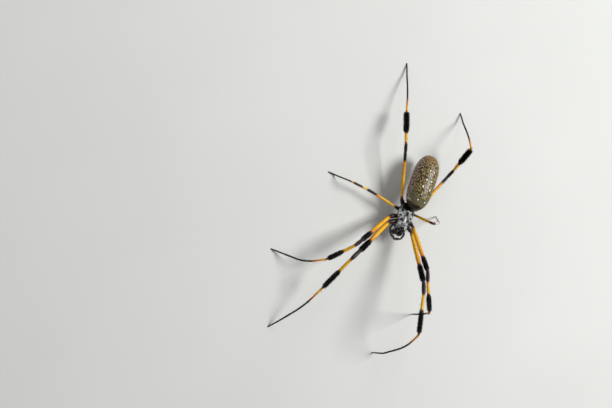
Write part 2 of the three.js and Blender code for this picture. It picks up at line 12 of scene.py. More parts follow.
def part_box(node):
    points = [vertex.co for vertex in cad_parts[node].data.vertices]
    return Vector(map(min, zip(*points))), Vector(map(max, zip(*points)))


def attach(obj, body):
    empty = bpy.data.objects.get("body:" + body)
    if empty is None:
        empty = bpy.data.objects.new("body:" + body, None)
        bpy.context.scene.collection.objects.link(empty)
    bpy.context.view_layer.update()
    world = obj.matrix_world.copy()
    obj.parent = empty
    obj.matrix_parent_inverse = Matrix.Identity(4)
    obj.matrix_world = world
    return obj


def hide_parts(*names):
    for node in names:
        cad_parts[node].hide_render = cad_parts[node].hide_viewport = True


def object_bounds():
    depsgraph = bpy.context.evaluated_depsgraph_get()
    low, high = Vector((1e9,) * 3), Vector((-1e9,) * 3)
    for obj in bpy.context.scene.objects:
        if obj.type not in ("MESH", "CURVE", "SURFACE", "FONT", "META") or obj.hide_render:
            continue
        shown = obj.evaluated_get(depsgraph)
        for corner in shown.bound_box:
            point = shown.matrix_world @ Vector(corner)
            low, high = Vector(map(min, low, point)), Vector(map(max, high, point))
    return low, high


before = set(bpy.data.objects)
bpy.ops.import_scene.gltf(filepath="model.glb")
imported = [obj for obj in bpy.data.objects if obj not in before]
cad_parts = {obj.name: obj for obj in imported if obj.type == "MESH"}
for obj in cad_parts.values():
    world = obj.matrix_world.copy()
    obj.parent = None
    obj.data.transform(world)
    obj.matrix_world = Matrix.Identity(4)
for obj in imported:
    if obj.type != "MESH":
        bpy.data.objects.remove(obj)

CAD_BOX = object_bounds()
LOG = logging.getLogger("orb_weaver")
MM = 0.001
BODY = "root"
UNWRAP = "Unwrap"
BAKE_MAP = "OFBake"
EYE_FRONT_Y = -6.53                  # the front median eyes ahead of the body's own origin, mm


class Side(Enum):
    """The two sides of the animal, with the sign of x."""

    LEFT = 1
    RIGHT = -1

    @property
    def word(self) -> str:
        """The side's name as the frame's nodes spell it."""
        return self.name.lower()


class Segment(Enum):
    """Segments of a leg, numbered by where each starts along the leg's own scale."""

    COXA = 0
    FEMUR = 1
    PATELLA = 2
    TIBIA = 3
    METATARSUS = 4
    TARSUS = 5


LEG_SCALE_END = 6                    # the leg's scale runs from 0 at its root to 6 at its foot


# Small tools

def linear(code: str) -> tuple[float, float, float, float]:
    """Turns an sRGB hex colour to linear light.

    Args:
        code: The colour as "#rrggbb".

    Returns:
        Red, green, blue and alpha.
    """
    parts = [int(code[i:i + 2], 16) / 255 for i in (1, 3, 5)]
    return (*[p / 12.92 if p <= 0.04045 else ((p + 0.055) / 1.055) ** 2.4 for p in parts], 1.0)


def socket(sockets: object, key: object) -> object:
    """Finds a node's socket by number, or by name among those in use.

    Args:
        sockets: The node's inputs or outputs.
        key: A number or a name.

    Returns:
        The socket.
    """
    if isinstance(key, int):
        return sockets[key]
    return next(s for s in sockets if s.enabled and s.name == key)


def add_node(tree: object, kind: str, inputs: dict | None = None, **settings: object) -> object:
    """Adds a node with its settings, values and links.

    Args:
        tree: The node tree.
        kind: The node's type name.
        inputs: Each input's name or number, with a value, a node (its first output in use) or a socket.
        settings: The node's own properties.

    Returns:
        The node.
    """
    node = tree.nodes.new(kind)
    for name, value in settings.items():
        setattr(node, name, value)
    for key, value in (inputs or {}).items():
        target = socket(node.inputs, key)
        if isinstance(value, bpy.types.Node):
            value = next(s for s in value.outputs if s.enabled)
        if isinstance(value, bpy.types.NodeSocket):
            tree.links.new(value, target)
        else:
            target.default_value = value
    return node


def unit(vectors: np.ndarray) -> np.ndarray:
    """Scales vectors to length one."""
    return vectors / np.maximum(np.linalg.norm(vectors, axis=-1, keepdims=True), 1e-12)


def direction(yaw: float, pitch: float) -> np.ndarray:
    """Turns a compass angle and a rise, in degrees, to a unit vector."""
    a, e = math.radians(yaw), math.radians(pitch)
    return np.array([math.cos(e) * math.cos(a), math.cos(e) * math.sin(a), math.sin(e)])


def table(rows: list[tuple[float, float]], at: np.ndarray) -> np.ndarray:
    """Reads a table of (place, value) rows at some places, in straight lines between them."""
    return np.interp(at, [row[0] for row in rows], [row[1] for row in rows])


def soft_step(low: float, high: float, at: np.ndarray) -> np.ndarray:
    """Rises smoothly from 0 at low to 1 at high."""
    share = np.clip((at - low) / (high - low), 0, 1)
    return share * share * (3 - 2 * share)


def bump_at(centre: float, width: float, at: np.ndarray) -> np.ndarray:
    """A round bump of height one about a centre."""
    gap = at - centre
    return np.exp(-gap * gap / (width * width))


def smooth_rows(values: list[float], at: np.ndarray) -> np.ndarray:
    """A smooth line through evenly spaced values.

    Args:
        values: The values.
        at: Places from 0 at the first value to 1 at the last.

    Returns:
        The line's values at those places.
    """
    v = np.array([2 * values[0] - values[1], *values, 2 * values[-1] - values[-2]])
    place = np.clip(at, 0, 1) * (len(values) - 1)
    i = np.minimum(place.astype(int), len(values) - 2)
    t = place - i
    a, b, c, d = v[i], v[i + 1], v[i + 2], v[i + 3]
    return 0.5 * (2 * b + (c - a) * t + (2 * a - 5 * b + 4 * c - d) * t ** 2
                  + (3 * b - a - 3 * c + d) * t ** 3)


def body_origin() -> np.ndarray:
    """Where the body's own origin lies in the frame, in mm, from the front median eyes."""
    left, right = (sum(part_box(f"eye_median_front_{side.word}"), Vector()) / 2 for side in Side)
    middle = (left + right) / 2
    return np.array([middle.x / MM, middle.y / MM - EYE_FRONT_Y, 0.0])


ORIGIN = body_origin()


# Lines and skins

@dataclass(frozen=True)
class Path:
    """A line in space with its arc lengths and a steady upward direction, in mm."""

    points: np.ndarray
    reach: np.ndarray
    ups: np.ndarray

    @classmethod
    def through(cls, points: np.ndarray, up: tuple[float, float, float] = (0, 0, 1)) -> "Path":
        """Makes a path of closely spaced points.

        Args:
            points: The points.
            up: The direction that the path's top faces where it starts.

        Returns:
            The path.
        """
        steps = np.diff(points, axis=0)
        reach = np.concatenate([[0], np.cumsum(np.linalg.norm(steps, axis=1))])
        tangents = unit(np.gradient(points, axis=0))
        top = np.array(up, float)
        ups = []
        for tangent in tangents:
            top = unit(top - tangent * top.dot(tangent))
            ups.append(top)
        return cls(points, reach, np.array(ups))

    @property
    def length(self) -> float:
        """The path's whole length."""
        return float(self.reach[-1])

    def _read(self, rows: np.ndarray, at: np.ndarray) -> np.ndarray:
        return np.stack([np.interp(at, self.reach, rows[:, i]) for i in range(3)], -1)

    def at(self, s: np.ndarray) -> np.ndarray:
        """Points at arc lengths."""
        return self._read(self.points, s)

    def axes(self, s: np.ndarray) -> tuple[np.ndarray, np.ndarray, np.ndarray]:
        """Tangent, side and top directions at arc lengths."""
        tangent = unit(self._read(unit(np.gradient(self.points, axis=0)), s))
        top = self._read(self.ups, s)
        top = unit(top - tangent * (top * tangent).sum(-1, keepdims=True))
        return tangent, np.cross(tangent, top), top


def corners_rounded(joints: list[np.ndarray], roundings: list[float], step: float = 0.06) -> np.ndarray:
    """A line through joints with each corner rounded.

    Args:
        joints: The joints, ends included.
        roundings: How far from each joint its corner starts to round.
        step: Spacing of the points, mm.

    Returns:
        Points along the line.
    """
    share = 0.48                     # the most of a segment that one corner takes
    points = []
    start = joints[0]

    def straight(a: np.ndarray, b: np.ndarray) -> None:
        count = max(2, int(np.linalg.norm(b - a) / step))
        points.extend(a + (b - a) * t for t in np.linspace(0, 1, count, endpoint=False))

    for i in range(1, len(joints) - 1):
        before, after = joints[i - 1] - joints[i], joints[i + 1] - joints[i]
        reach = min(roundings[i], np.linalg.norm(before) * share, np.linalg.norm(after) * share)
        enter, leave = joints[i] + unit(before) * reach, joints[i] + unit(after) * reach
        straight(start, enter)
        count = max(6, int(2 * reach / step))
        for t in np.linspace(0, 1, count, endpoint=False):
            points.append((1 - t) ** 2 * enter + 2 * t * (1 - t) * joints[i] + t * t * leave)
        start = leave
    straight(start, joints[-1])
    points.append(joints[-1])
    return np.array(points)


@dataclass
class Skin:
    """A closed skin over rings of points, in mm, with named values kept at every point."""

    name: str
    rings: np.ndarray
    values: dict[str, np.ndarray] = field(default_factory=dict)

    def faces(self) -> tuple[list, np.ndarray]:
        """Faces that point outwards, and the unwrap of their corners.

        Returns:
            The faces as point numbers, and one (around, along) pair for each corner.
        """
        rows, sides = self.rings.shape[:2]
        grid = np.arange(rows * sides).reshape(rows, sides)
        around = (np.arange(sides) + 1) / sides
        faces, corners = [], []
        for r in range(rows - 1):
            low, high = r / (rows - 1), (r + 1) / (rows - 1)
            for i in range(sides):
                j = (i + 1) % sides
                faces.append((grid[r, i], grid[r, j], grid[r + 1, j], grid[r + 1, i]))
                left, right = around[i] - 1 / sides, around[i]
                corners.append(((left, low), (right, low), (right, high), (left, high)))
        for row, pole, v in ((0, rows * sides, 0.0), (rows - 1, rows * sides + 1, 1.0)):
            for i in range(sides):
                a, b = grid[row, i], grid[row, (i + 1) % sides]
                left, right = around[i] - 1 / sides, around[i]
                if row == 0:
                    faces.append((b, a, pole))
                    corners.append(((right, v), (left, v), ((left + right) / 2, v)))
                else:
                    faces.append((a, b, pole))
                    corners.append(((left, v), (right, v), ((left + right) / 2, v)))
        return faces, corners

    def points(self) -> np.ndarray:
        """Every point, with the two poles last."""
        flat = self.rings.reshape(-1, 3)
        return np.vstack([flat, self.rings[0].mean(0), self.rings[-1].mean(0)])

    def spread(self, value: np.ndarray) -> np.ndarray:
        """A value for every point, from one for each ring or each point of the rings."""
        rows, sides = self.rings.shape[:2]
        full = np.broadcast_to(value if np.ndim(value) > 1 else np.reshape(value, (-1, 1)), (rows, sides))
        return np.concatenate([full.reshape(-1), [full[0].mean(), full[-1].mean()]])

    def lie(self) -> np.ndarray:
        """The direction in which hair lies at every point: along the rings' order."""
        along = unit(np.gradient(self.rings, axis=0)).reshape(-1, 3)
        ends = unit(self.rings[[1, -1]].mean(1) - self.rings[[0, -2]].mean(1))
        return np.vstack([along, ends])

    def build(self, material: object) -> object:
        """Makes the skin's object.

        Args:
            material: Its material.

        Returns:
            The object, in place and at the origin.
        """
        faces, corners = self.faces()
        points = self.points()
        a, b, c = (points[[face[k] for face in faces]] for k in (0, 1, 2))
        if (a * np.cross(b, c)).sum() < 0:
            faces = [face[::-1] for face in faces]
            corners = [corner[::-1] for corner in corners]
        obj = mesh_object(self.name, points, faces, material)
        mesh = obj.data
        uv = mesh.uv_layers.new(name=UNWRAP)
        uv.data.foreach_set("uv", np.array([n for face in corners for pair in face for n in pair]))
        for name, value in self.values.items():
            layer = mesh.attributes.new(name, "FLOAT", "POINT")
            layer.data.foreach_set("value", self.spread(value))
        lie = mesh.attributes.new("lie", "FLOAT_VECTOR", "POINT")
        lie.data.foreach_set("vector", self.lie().ravel())
        return obj


def mesh_object(name: str, points: np.ndarray, faces: list, material: object) -> object:
    """Makes a smooth mesh object from points in mm about the body's origin.

    Args:
        name: Its name.
        points: Its points.
        faces: Its faces.
        material: Its material.

    Returns:
        The object.
    """
    mesh = bpy.data.meshes.new(name)
    placed = (points + ORIGIN) * MM
    mesh.from_pydata(placed.tolist(), [], [tuple(int(v) for v in face) for face in faces])
    mesh.materials.append(material)
    mesh.shade_smooth()
    obj = bpy.data.objects.new(name, mesh)
    bpy.context.collection.objects.link(obj)
    return obj


def joined(name: str, skins: list[Skin], material: object) -> object:
    """Makes one object of several small skins.

    Args:
        name: Its name.
        skins: The skins.
        material: Their material.

    Returns:
        The object.
    """
    points, faces = [], []
    for skin in skins:
        before = sum(len(p) for p in points)
        points.append(skin.points())
        faces += [tuple(v + before for v in face) for face in skin.faces()[0]]
    return mesh_object(name, np.vstack(points), faces, material)


def tube(path: Path, s: np.ndarray, wide: np.ndarray, deep: np.ndarray, sides: int) -> np.ndarray:
    """Rings of an oval section along a path.

    Args:
        path: The path.
        s: Arc lengths of the rings.
        wide: Half widths, one for each ring or each point.
        deep: Half depths, likewise.
        sides: Points in a ring, the first one at the bottom.

    Returns:
        The rings.
    """
    _, side, top = path.axes(s)
    angle = around_angles(sides)
    wide, deep = (np.reshape(v, (len(s), -1)) for v in (wide, deep))
    across = (wide * np.sin(angle))[..., None] * side[:, None]
    upward = (deep * np.cos(angle))[..., None] * top[:, None]
    return path.at(s)[:, None] + across + upward


def around_angles(sides: int) -> np.ndarray:
    """Angles of a ring's points from the top, the first one at the bottom."""
    return np.linspace(-math.pi, math.pi, sides, endpoint=False)


def finish_piece(obj: object, nodes: tuple[str, ...] = ()) -> object:
    """Puts a finished piece on the body and hides the frame's nodes that it stands for."""
    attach(obj, BODY)
    if nodes:
        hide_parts(*nodes)
    LOG.info("%s: %d faces", obj.name, len(obj.data.polygons))
    return obj


# Coats of hair

@dataclass(frozen=True)
class Coat:
    """A coat of tapered bristles that grow from a skin by a tree of geometry nodes.

    The skin's value NAME_cover thins the coat and NAME_length, in mm, gives its length.
    """

    name: str
    per_mm2: float
    thickness: float                 # a bristle's radius at its root over its length
    lift: float                      # rise of its tip from the skin, degrees
    root_lift: float                 # rise where it leaves the skin, degrees
    sway: float = 20.0               # turn to either side, degrees
    spread: float = 0.3              # how much length and rise vary
    steps: int = 2
    sides: int = 3
    seed: int = 1

    def tree(self, material: object) -> tuple[object, dict[str, str]]:
        """Builds the tree.

        Args:
            material: The bristles' material.

        Returns:
            The tree, and its inputs' identifiers by name.
        """
        tree = bpy.data.node_groups.new(f"{self.name}_coat", "GeometryNodeTree")
        add = tree.interface.new_socket
        add(name="Geometry", in_out="OUTPUT", socket_type="NodeSocketGeometry")
        add(name="Skin", in_out="INPUT", socket_type="NodeSocketGeometry")
        names = ("Density", "Thickness", "Lift", "Root lift", "Sway", "Spread")
        ids = {n: add(name=n, in_out="INPUT", socket_type="NodeSocketFloat").identifier for n in names}
        ids["Seed"] = add(name="Seed", in_out="INPUT", socket_type="NodeSocketInt").identifier
        entry = tree.nodes.new("NodeGroupInput").outputs

        def named(kind: str, name: str) -> object:
            node = add_node(tree, "GeometryNodeInputNamedAttribute", {"Name": name}, data_type=kind)
            return socket(node.outputs, "Attribute")

        def maths(operation: str, *values: object) -> object:
            return add_node(tree, "ShaderNodeMath", dict(enumerate(values)), operation=operation)

        def chance(low: object, high: object, salt: int) -> object:
            return add_node(tree, "FunctionNodeRandomValue", {
                "Min": low, "Max": high, "Seed": maths("ADD", entry["Seed"], salt),
            }, data_type="FLOAT")

        cover = maths("MULTIPLY", entry["Density"], named("FLOAT", f"{self.name}_cover"))
        grow = add_node(tree, "GeometryNodeDistributePointsOnFaces", {
            "Mesh": entry["Skin"], "Density": cover, "Seed": entry["Seed"],
        })
        root = add_node(tree, "GeometryNodeStoreNamedAttribute", {
            "Geometry": grow, "Name": "root_uv", "Value": named("FLOAT_VECTOR", UNWRAP),
        }, data_type="FLOAT_VECTOR", domain="POINT")

        def reach(lift: object, length: float) -> object:
            return add_node(tree, "ShaderNodeCombineXYZ", {
                "X": maths("MULTIPLY", maths("COSINE", lift), length),
                "Z": maths("MULTIPLY", maths("SINE", lift), length),
            })

        line = add_node(tree, "GeometryNodeCurvePrimitiveBezierSegment", {
            "Resolution": self.steps, "Start": (0, 0, -0.03),
            "Start Handle": reach(entry["Root lift"], 0.4),
            "End Handle": reach(entry["Lift"], 0.7), "End": reach(entry["Lift"], 1.0),
        }, mode="POSITION")
        factor = socket(add_node(tree, "GeometryNodeSplineParameter").outputs, "Factor")
        marked = add_node(tree, "GeometryNodeStoreNamedAttribute", {
            "Geometry": line, "Name": "bristle", "Value": factor,
        }, data_type="FLOAT", domain="POINT")
        section = add_node(tree, "GeometryNodeCurvePrimitiveCircle", {
            "Resolution": self.sides, "Radius": entry["Thickness"],
        }, mode="RADIUS")
        taper = maths("SUBTRACT", 1.0, maths("MULTIPLY", maths("POWER", factor, 1.5), 0.9))
        bristle = add_node(tree, "GeometryNodeCurveToMesh", {
            "Curve": marked, "Profile Curve": section, "Scale": taper, "Fill Caps": True,
        })
        facing = add_node(tree, "FunctionNodeAxesToRotation", {
            "Primary Axis": socket(grow.outputs, "Normal"), "Secondary Axis": named("FLOAT_VECTOR", "lie"),
        }, primary_axis="Z", secondary_axis="X")
        turn = add_node(tree, "FunctionNodeAxisAngleToRotation", {
            "Axis": (0, 0, 1), "Angle": chance(maths("MULTIPLY", entry["Sway"], -1.0), entry["Sway"], 3),
        })
        swayed = add_node(tree, "FunctionNodeRotateRotation", {
            "Rotation": facing, "Rotate By": turn,
        }, rotation_space="LOCAL")
        length = maths("MULTIPLY", named("FLOAT", f"{self.name}_length"), MM)
        shorter = maths("SUBTRACT", 1.0, entry["Spread"])
        taller = maths("ADD", 1.0, entry["Spread"])
        size = maths("MULTIPLY", length, chance(shorter, 1.0, 5))
        scale = add_node(tree, "ShaderNodeCombineXYZ", {
            "X": size, "Y": size, "Z": maths("MULTIPLY", size, chance(shorter, taller, 7)),
        })
        grown = add_node(tree, "GeometryNodeInstanceOnPoints", {
            "Points": root, "Instance": bristle, "Rotation": swayed, "Scale": scale,
        })
        real = add_node(tree, "GeometryNodeRealizeInstances", {"Geometry": grown})
        patch = add_node(tree, "ShaderNodeCombineXYZ", {
            "X": maths("MULTIPLY", named("FLOAT", "bristle"), 0.003),
        })
        place = add_node(tree, "ShaderNodeVectorMath", {
            0: named("FLOAT_VECTOR", "root_uv"), 1: patch,
        }, operation="ADD")
        mapped = add_node(tree, "GeometryNodeStoreNamedAttribute", {
            "Geometry": real, "Name": BAKE_MAP, "Value": place,
        }, data_type="FLOAT2", domain="CORNER")
        smooth = add_node(tree, "GeometryNodeSetShadeSmooth", {"Geometry": mapped})
        dressed = add_node(tree, "GeometryNodeSetMaterial", {"Geometry": smooth, "Material": material})
        add_node(tree, "NodeGroupOutput", {0: dressed})
        return tree, ids

    def grow(self, skin: object, name: str, material: object, slot: str) -> object:
        """Grows the coat as a plain mesh.

        Args:
            skin: The skin's object.
            name: The coat's name.
            material: Its material.
            slot: Not used.

        Returns:
            The coat's object.
        """
        tree, ids = self.tree(material)
        carrier = bpy.data.objects.new(f"{name}_carrier", skin.data)
        bpy.context.collection.objects.link(carrier)
        modifier = carrier.modifiers.new("Coat", "NODES")
        modifier.node_group = tree
        values = {
            "Density": self.per_mm2 / MM ** 2, "Thickness": self.thickness,
            "Lift": math.radians(self.lift), "Root lift": math.radians(self.root_lift),
            "Sway": math.radians(self.sway), "Spread": self.spread,
        }
        for key, value in values.items():
            modifier[ids[key]] = float(value)
        modifier[ids["Seed"]] = self.seed
        evaluated = carrier.evaluated_get(bpy.context.evaluated_depsgraph_get())
        mesh = bpy.data.meshes.new_from_object(evaluated)
        mesh.name = name
        bpy.data.objects.remove(carrier)
        bpy.data.node_groups.remove(tree)
        for spare in ("root_uv", "lie"):
            if spare in mesh.attributes:
                mesh.attributes.remove(mesh.attributes[spare])
        coat = bpy.data.objects.new(name, mesh)
        bpy.context.collection.objects.link(coat)
        return finish_piece(coat)


# Finishes

class Finish:
    """A material with its tree, its shader and a few ways to feed it."""

    def __init__(self, name: str) -> None:
        """Starts a material with one principled shader."""
        self.material = bpy.data.materials.new(name)
        self.material.use_nodes = True
        self.tree = self.material.node_tree
        self.shader = next(n for n in self.tree.nodes if n.type == "BSDF_PRINCIPLED")

    def set(self, **values: object) -> None:
        """Sets the shader's own inputs; an underscore in a name stands for a blank."""
        for name, value in values.items():
            self.shader.inputs[name.replace("_", " ")].default_value = value

    def feed(self, name: str, source: object) -> None:
        """Links a node to one of the shader's inputs."""
        self.tree.links.new(next(s for s in source.outputs if s.enabled), self.shader.inputs[name])

    def node(self, kind: str, inputs: dict | None = None, **settings: object) -> object:
        """Adds a node to the material."""
        return add_node(self.tree, kind, inputs, **settings)

    def value(self, name: str) -> object:
        """The number that the skin keeps under a name."""
        return socket(self.node("ShaderNodeAttribute", attribute_name=name).outputs, "Fac")

    def place(self) -> object:
        """Object coordinates."""
        return self.node("ShaderNodeTexCoord").outputs["Object"]

    def surface(self, around: float, along: float) -> object:
        """The skin's unwrap stretched to mm.

        Args:
            around: The skin's girth, mm.
            along: Its length, mm.

        Returns:
            The mapping node.
        """
        unwrap = self.node("ShaderNodeUVMap", uv_map=UNWRAP)
        return self.node("ShaderNodeMapping", {
            "Vector": unwrap.outputs["UV"], "Location": (-around / 2, 0, 0), "Scale": (around, along, 1),
        })

    def noise(self, grain: float, detail: float = 3.0) -> object:
        """Noise on object coordinates, whose grain is a real size in mm."""
        return self.node("ShaderNodeTexNoise", {
            "Vector": self.place(), "Scale": 1 / (grain * MM), "Detail": detail,
        })

    def mix(self, share: object, low: object, high: object, blend: str = "MIX") -> object:
        """Mixes two colours, given as hex codes or nodes."""
        low, high = (linear(c) if isinstance(c, str) else c for c in (low, high))
        return self.node("ShaderNodeMix", {"Factor": share, "A": low, "B": high},
                         data_type="RGBA", blend_type=blend)

    def ramp(self, source: object, stops: list[tuple[float, str]]) -> object:
        """A row of colours along a number from 0 to 1."""
        node = self.node("ShaderNodeValToRGB", {"Fac": source})
        row = node.color_ramp.elements
        row[0].position, row[0].color = stops[0][0], linear(stops[0][1])
        row[1].position, row[1].color = stops[-1][0], linear(stops[-1][1])
        for place, code in stops[1:-1]:
            row.new(place).color = linear(code)
        return node

    def remap(self, source: object, low: float, high: float, start: float = 0.0, end: float = 1.0) -> object:
        """Maps a number from one range to another, smoothly and held at its ends."""
        return self.node("ShaderNodeMapRange", {
            "Value": source, "From Min": low, "From Max": high, "To Min": start, "To Max": end,
        }, interpolation_type="SMOOTHSTEP")

    def maths(self, operation: str, *values: object) -> object:
        """Arithmetic on numbers."""
        return self.node("ShaderNodeMath", dict(enumerate(values)), operation=operation)

    def bump(self, height: object, depth: float, strength: float = 1.0) -> None:
        """Gives the surface relief whose full height is a real depth in mm."""
        node = self.node("ShaderNodeBump", {"Height": height, "Distance": depth * MM, "Strength": strength})
        self.feed("Normal", node)


@dataclass(frozen=True)
class BandedCuticle:
    """Leg cuticle: smooth hard chitin, yellow where it is bare and near black under the brushes."""

    bands: tuple[tuple[float, str], ...]
    name: str = "banded_leg_cuticle"
    wander: float = 0.035            # how far a band's edge strays, on the leg's scale
    grain: float = 0.16              # size of the fine pitting, mm
    roughness: tuple[float, float] = (0.34, 0.5)

    def material(self) -> object:
        """Builds the material."""
        f = Finish(self.name)
        soft = f.noise(0.5)
        stray = f.maths("MULTIPLY", f.maths("SUBTRACT", soft, 0.5), self.wander)
        place = f.maths("DIVIDE", f.maths("ADD", f.value("station"), stray), LEG_SCALE_END)
        base = f.ramp(place, [(at / LEG_SCALE_END, code) for at, code in self.bands])
        mottled = f.mix(f.remap(f.noise(1.3, 4), 0.35, 0.75, 0.0, 0.3), base, "#d8a860", "MULTIPLY")
        shade = f.remap(f.value("underside"), 0.2, 1.0, 0.0, 0.35)
        f.feed("Base Color", f.mix(shade, mottled, "#b88a50", "MULTIPLY"))
        f.feed("Roughness", f.remap(f.noise(0.3), 0.3, 0.7, *self.roughness))
        f.set(IOR=1.42)
        f.bump(f.noise(self.grain), 0.03, 0.5)
        return f.material


@dataclass(frozen=True)
class LegHair:
    """Setae on the legs: keratin-like bristles, straw on the yellow bands and black elsewhere."""

    bands: tuple[tuple[float, str], ...]
    name: str = "leg_setae"

    def material(self) -> object:
        """Builds the material."""
        f = Finish(self.name)
        place = f.maths("DIVIDE", f.value("station"), LEG_SCALE_END)
        base = f.ramp(place, [(at / LEG_SCALE_END, code) for at, code in self.bands])
        f.feed("Base Color", f.mix(f.remap(f.noise(0.8), 0.3, 0.7, 0.0, 0.4), base, "#5a3a12", "MULTIPLY"))
        f.set(Roughness=0.55, IOR=1.4, Specular_IOR_Level=0.3)
        return f.material


@dataclass(frozen=True)
class BlackBristle:
    """Stiff black bristles: satin, with a brown cast where light passes their tips."""

    name: str = "black_bristle"
    root: str = "#050405"
    tip: str = "#0e0a09"

    def material(self) -> object:
        """Builds the material."""
        f = Finish(self.name)
        base = f.mix(f.remap(f.value("bristle"), 0.2, 1.0), self.root, self.tip)
        f.feed("Base Color", f.mix(f.remap(f.noise(0.7), 0.4, 0.7, 0.0, 0.6), base, "#050506"))
        f.set(Roughness=0.5, IOR=1.4, Specular_IOR_Level=0.25)
        return f.material


@dataclass(frozen=True)
class SilverHair:
    """Flat silver hair of the carapace: thin hollow setae that scatter white light."""

    name: str = "silver_hair"
    pale: str = "#ecedeb"
    grey: str = "#757a79"

    def material(self) -> object:
        """Builds the material."""
        f = Finish(self.name)
        f.feed("Base Color", f.mix(f.remap(f.noise(1.1, 4), 0.42, 0.6), self.pale, self.grey))
        f.set(Roughness=0.34, IOR=1.5)
        return f.material


@dataclass(frozen=True)
class CarapaceCuticle:
    """Cuticle of the carapace and sternum: hard, glossy, olive black above and orange brown below."""

    name: str = "carapace_cuticle"
    grain: float = 0.12

    def material(self) -> object:
        """Builds the material."""
        f = Finish(self.name)
        dark = f.mix(f.remap(f.noise(0.9, 5), 0.35, 0.7), "#080705", "#1a180e")
        silver = f.mix(f.remap(f.noise(0.25, 2), 0.35, 0.6), "#94989a", "#d8dad8")
        top = f.mix(f.value("silver"), dark, silver)
        below = f.mix(f.remap(f.noise(0.8, 3), 0.4, 0.7), "#8c4a17", "#4a2410")
        f.feed("Base Color", f.mix(f.value("sternum"), top, below))
        f.feed("Roughness", f.remap(f.value("silver"), 0.0, 1.0, 0.22, 0.5))
        f.set(IOR=1.56, Coat_Weight=0.2, Coat_Roughness=0.15)
        f.bump(f.noise(self.grain), 0.04, 0.6)
        return f.material


@dataclass(frozen=True)
class AbdomenCuticle:
    """Soft abdomen skin: olive and golden brown, stippled with cream specks in rows, with cream spots."""

    girth: float                     # mm
    length: float                    # mm
    name: str = "abdomen_skin"
    speck: float = 0.52              # spacing of the larger specks, mm
    fleck: float = 0.34              # spacing of the finer ones, mm

    def material(self) -> object:
        """Builds the material."""
        f = Finish(self.name)
        skin = f.surface(self.girth, self.length)
        along = f.value("along")
        flank = f.value("flank")
        base = f.ramp(along, [
            (0.0, "#3c3015"), (0.3, "#38270d"), (0.6, "#36220a"), (0.85, "#452607"),
            (0.93, "#86480a"), (1.0, "#a9610e"),
        ])
        cloud = f.mix(f.remap(f.noise(1.6, 4), 0.35, 0.7, 0.0, 0.6), base, "#170e05")
        side = f.mix(flank, cloud, "#4c3128")
        # painted sheen: a lighter grey-olive patch behind the dark front stands for a highlight on the glossy
        # skin
        sheen = f.mix(f.value("sheen"), side, "#66654c")
        median = f.mix(f.value("median"), sheen, "#120c04")
        rim = f.mix(f.value("spot_rim"), median, "#140e05")
        rows = f.node("ShaderNodeMapping", {"Vector": skin, "Scale": (1, 0.62, 1)})
        cells = f.node("ShaderNodeTexVoronoi", {
            "Vector": rows, "Scale": 1 / self.speck, "Randomness": 0.75,
        }, voronoi_dimensions="2D")
        fine = f.node("ShaderNodeTexVoronoi", {
            "Vector": rows, "Scale": 1 / self.fleck, "Randomness": 0.95,
        }, voronoi_dimensions="2D")
        bold = f.remap(socket(cells.outputs, "Distance"), 0.37, 0.22)
        faint = f.remap(socket(fine.outputs, "Distance"), 0.34, 0.16, 0.0, 0.3)
        both = f.maths("MAXIMUM", bold, faint)
        patchy = f.maths("MULTIPLY", both, f.remap(f.noise(1.1, 2), 0.3, 0.55, 0.7, 1.0))
        there = f.maths("MULTIPLY", patchy, f.value("stipple"))
        speck = f.mix(f.remap(f.noise(2.5, 2), 0.3, 0.7), "#c4ab68", "#a89860")
        tinted = f.mix(flank, speck, "#d8bcb2")
        stippled = f.mix(there, rim, tinted)
        spotted = f.mix(f.value("spot"), stippled, "#f6f1cf")
        edged = f.mix(f.value("shoulder"), spotted, "#e4dfc4")
        fronted = f.mix(f.value("front"), edged, "#1b0807")
        f.feed("Base Color", f.mix(f.value("belly"), fronted, "#4a3010"))
        f.feed("Roughness", f.remap(f.noise(0.6), 0.3, 0.7, 0.32, 0.48))
        f.set(IOR=1.45, Coat_Weight=0.12, Coat_Roughness=0.3, Subsurface_Weight=0.06,
              Subsurface_Radius=(0.0006, 0.0004, 0.0002), Subsurface_Scale=1.0)
        relief = f.maths("SUBTRACT", f.noise(0.22), f.maths("MULTIPLY", bold, 0.35))
        f.bump(relief, 0.07, 0.6)
        return f.material


@dataclass(frozen=True)
class DarkShell:
    """Hard dark chitin of jaws, fangs, claws and mouthparts: polished, with a cast of another colour."""

    name: str
    base: str
    cast: str
    roughness: float = 0.22
    grain: float = 0.2

    def material(self) -> object:
        """Builds the material."""
        f = Finish(self.name)
        f.feed("Base Color", f.mix(f.remap(f.noise(0.7, 3), 0.4, 0.7), self.base, self.cast))
        f.feed("Roughness", f.remap(f.noise(0.4), 0.3, 0.7, self.roughness, self.roughness + 0.14))
        f.set(IOR=1.45, Coat_Weight=0.15, Coat_Roughness=0.12)
        f.bump(f.noise(self.grain), 0.02, 0.5)
        return f.material


@dataclass(frozen=True)
class EyeLens:
    """Lens of a simple eye: a clear hard dome over a black pit, so black with sharp highlights."""

    name: str = "eye_lens"

    def material(self) -> object:
        """Builds the material."""
        f = Finish(self.name)
        f.feed("Base Color", f.mix(f.remap(f.noise(0.3), 0.4, 0.7), "#040405", "#120a08"))
        f.set(Roughness=0.05, IOR=1.6, Coat_Weight=1.0, Coat_Roughness=0.03)
        return f.material


@dataclass(frozen=True)
class StudioFloor:
    """Painted matt board: pale, almost even."""

    name: str = "studio_floor"

    def material(self) -> object:
        """Builds the material."""
        f = Finish(self.name)
        f.feed("Base Color", f.mix(f.noise(60, 2), "#d2d3cf", "#dcdcd8"))
        f.set(Roughness=0.85, IOR=1.4)
        f.bump(f.noise(1.2), 0.02, 0.3)
        return f.material


# Legs

YELLOW, ORANGE, BLACK, MAROON, COXA = "#eeb81a", "#dd8f12", "#070505", "#260a09", "#360c07"


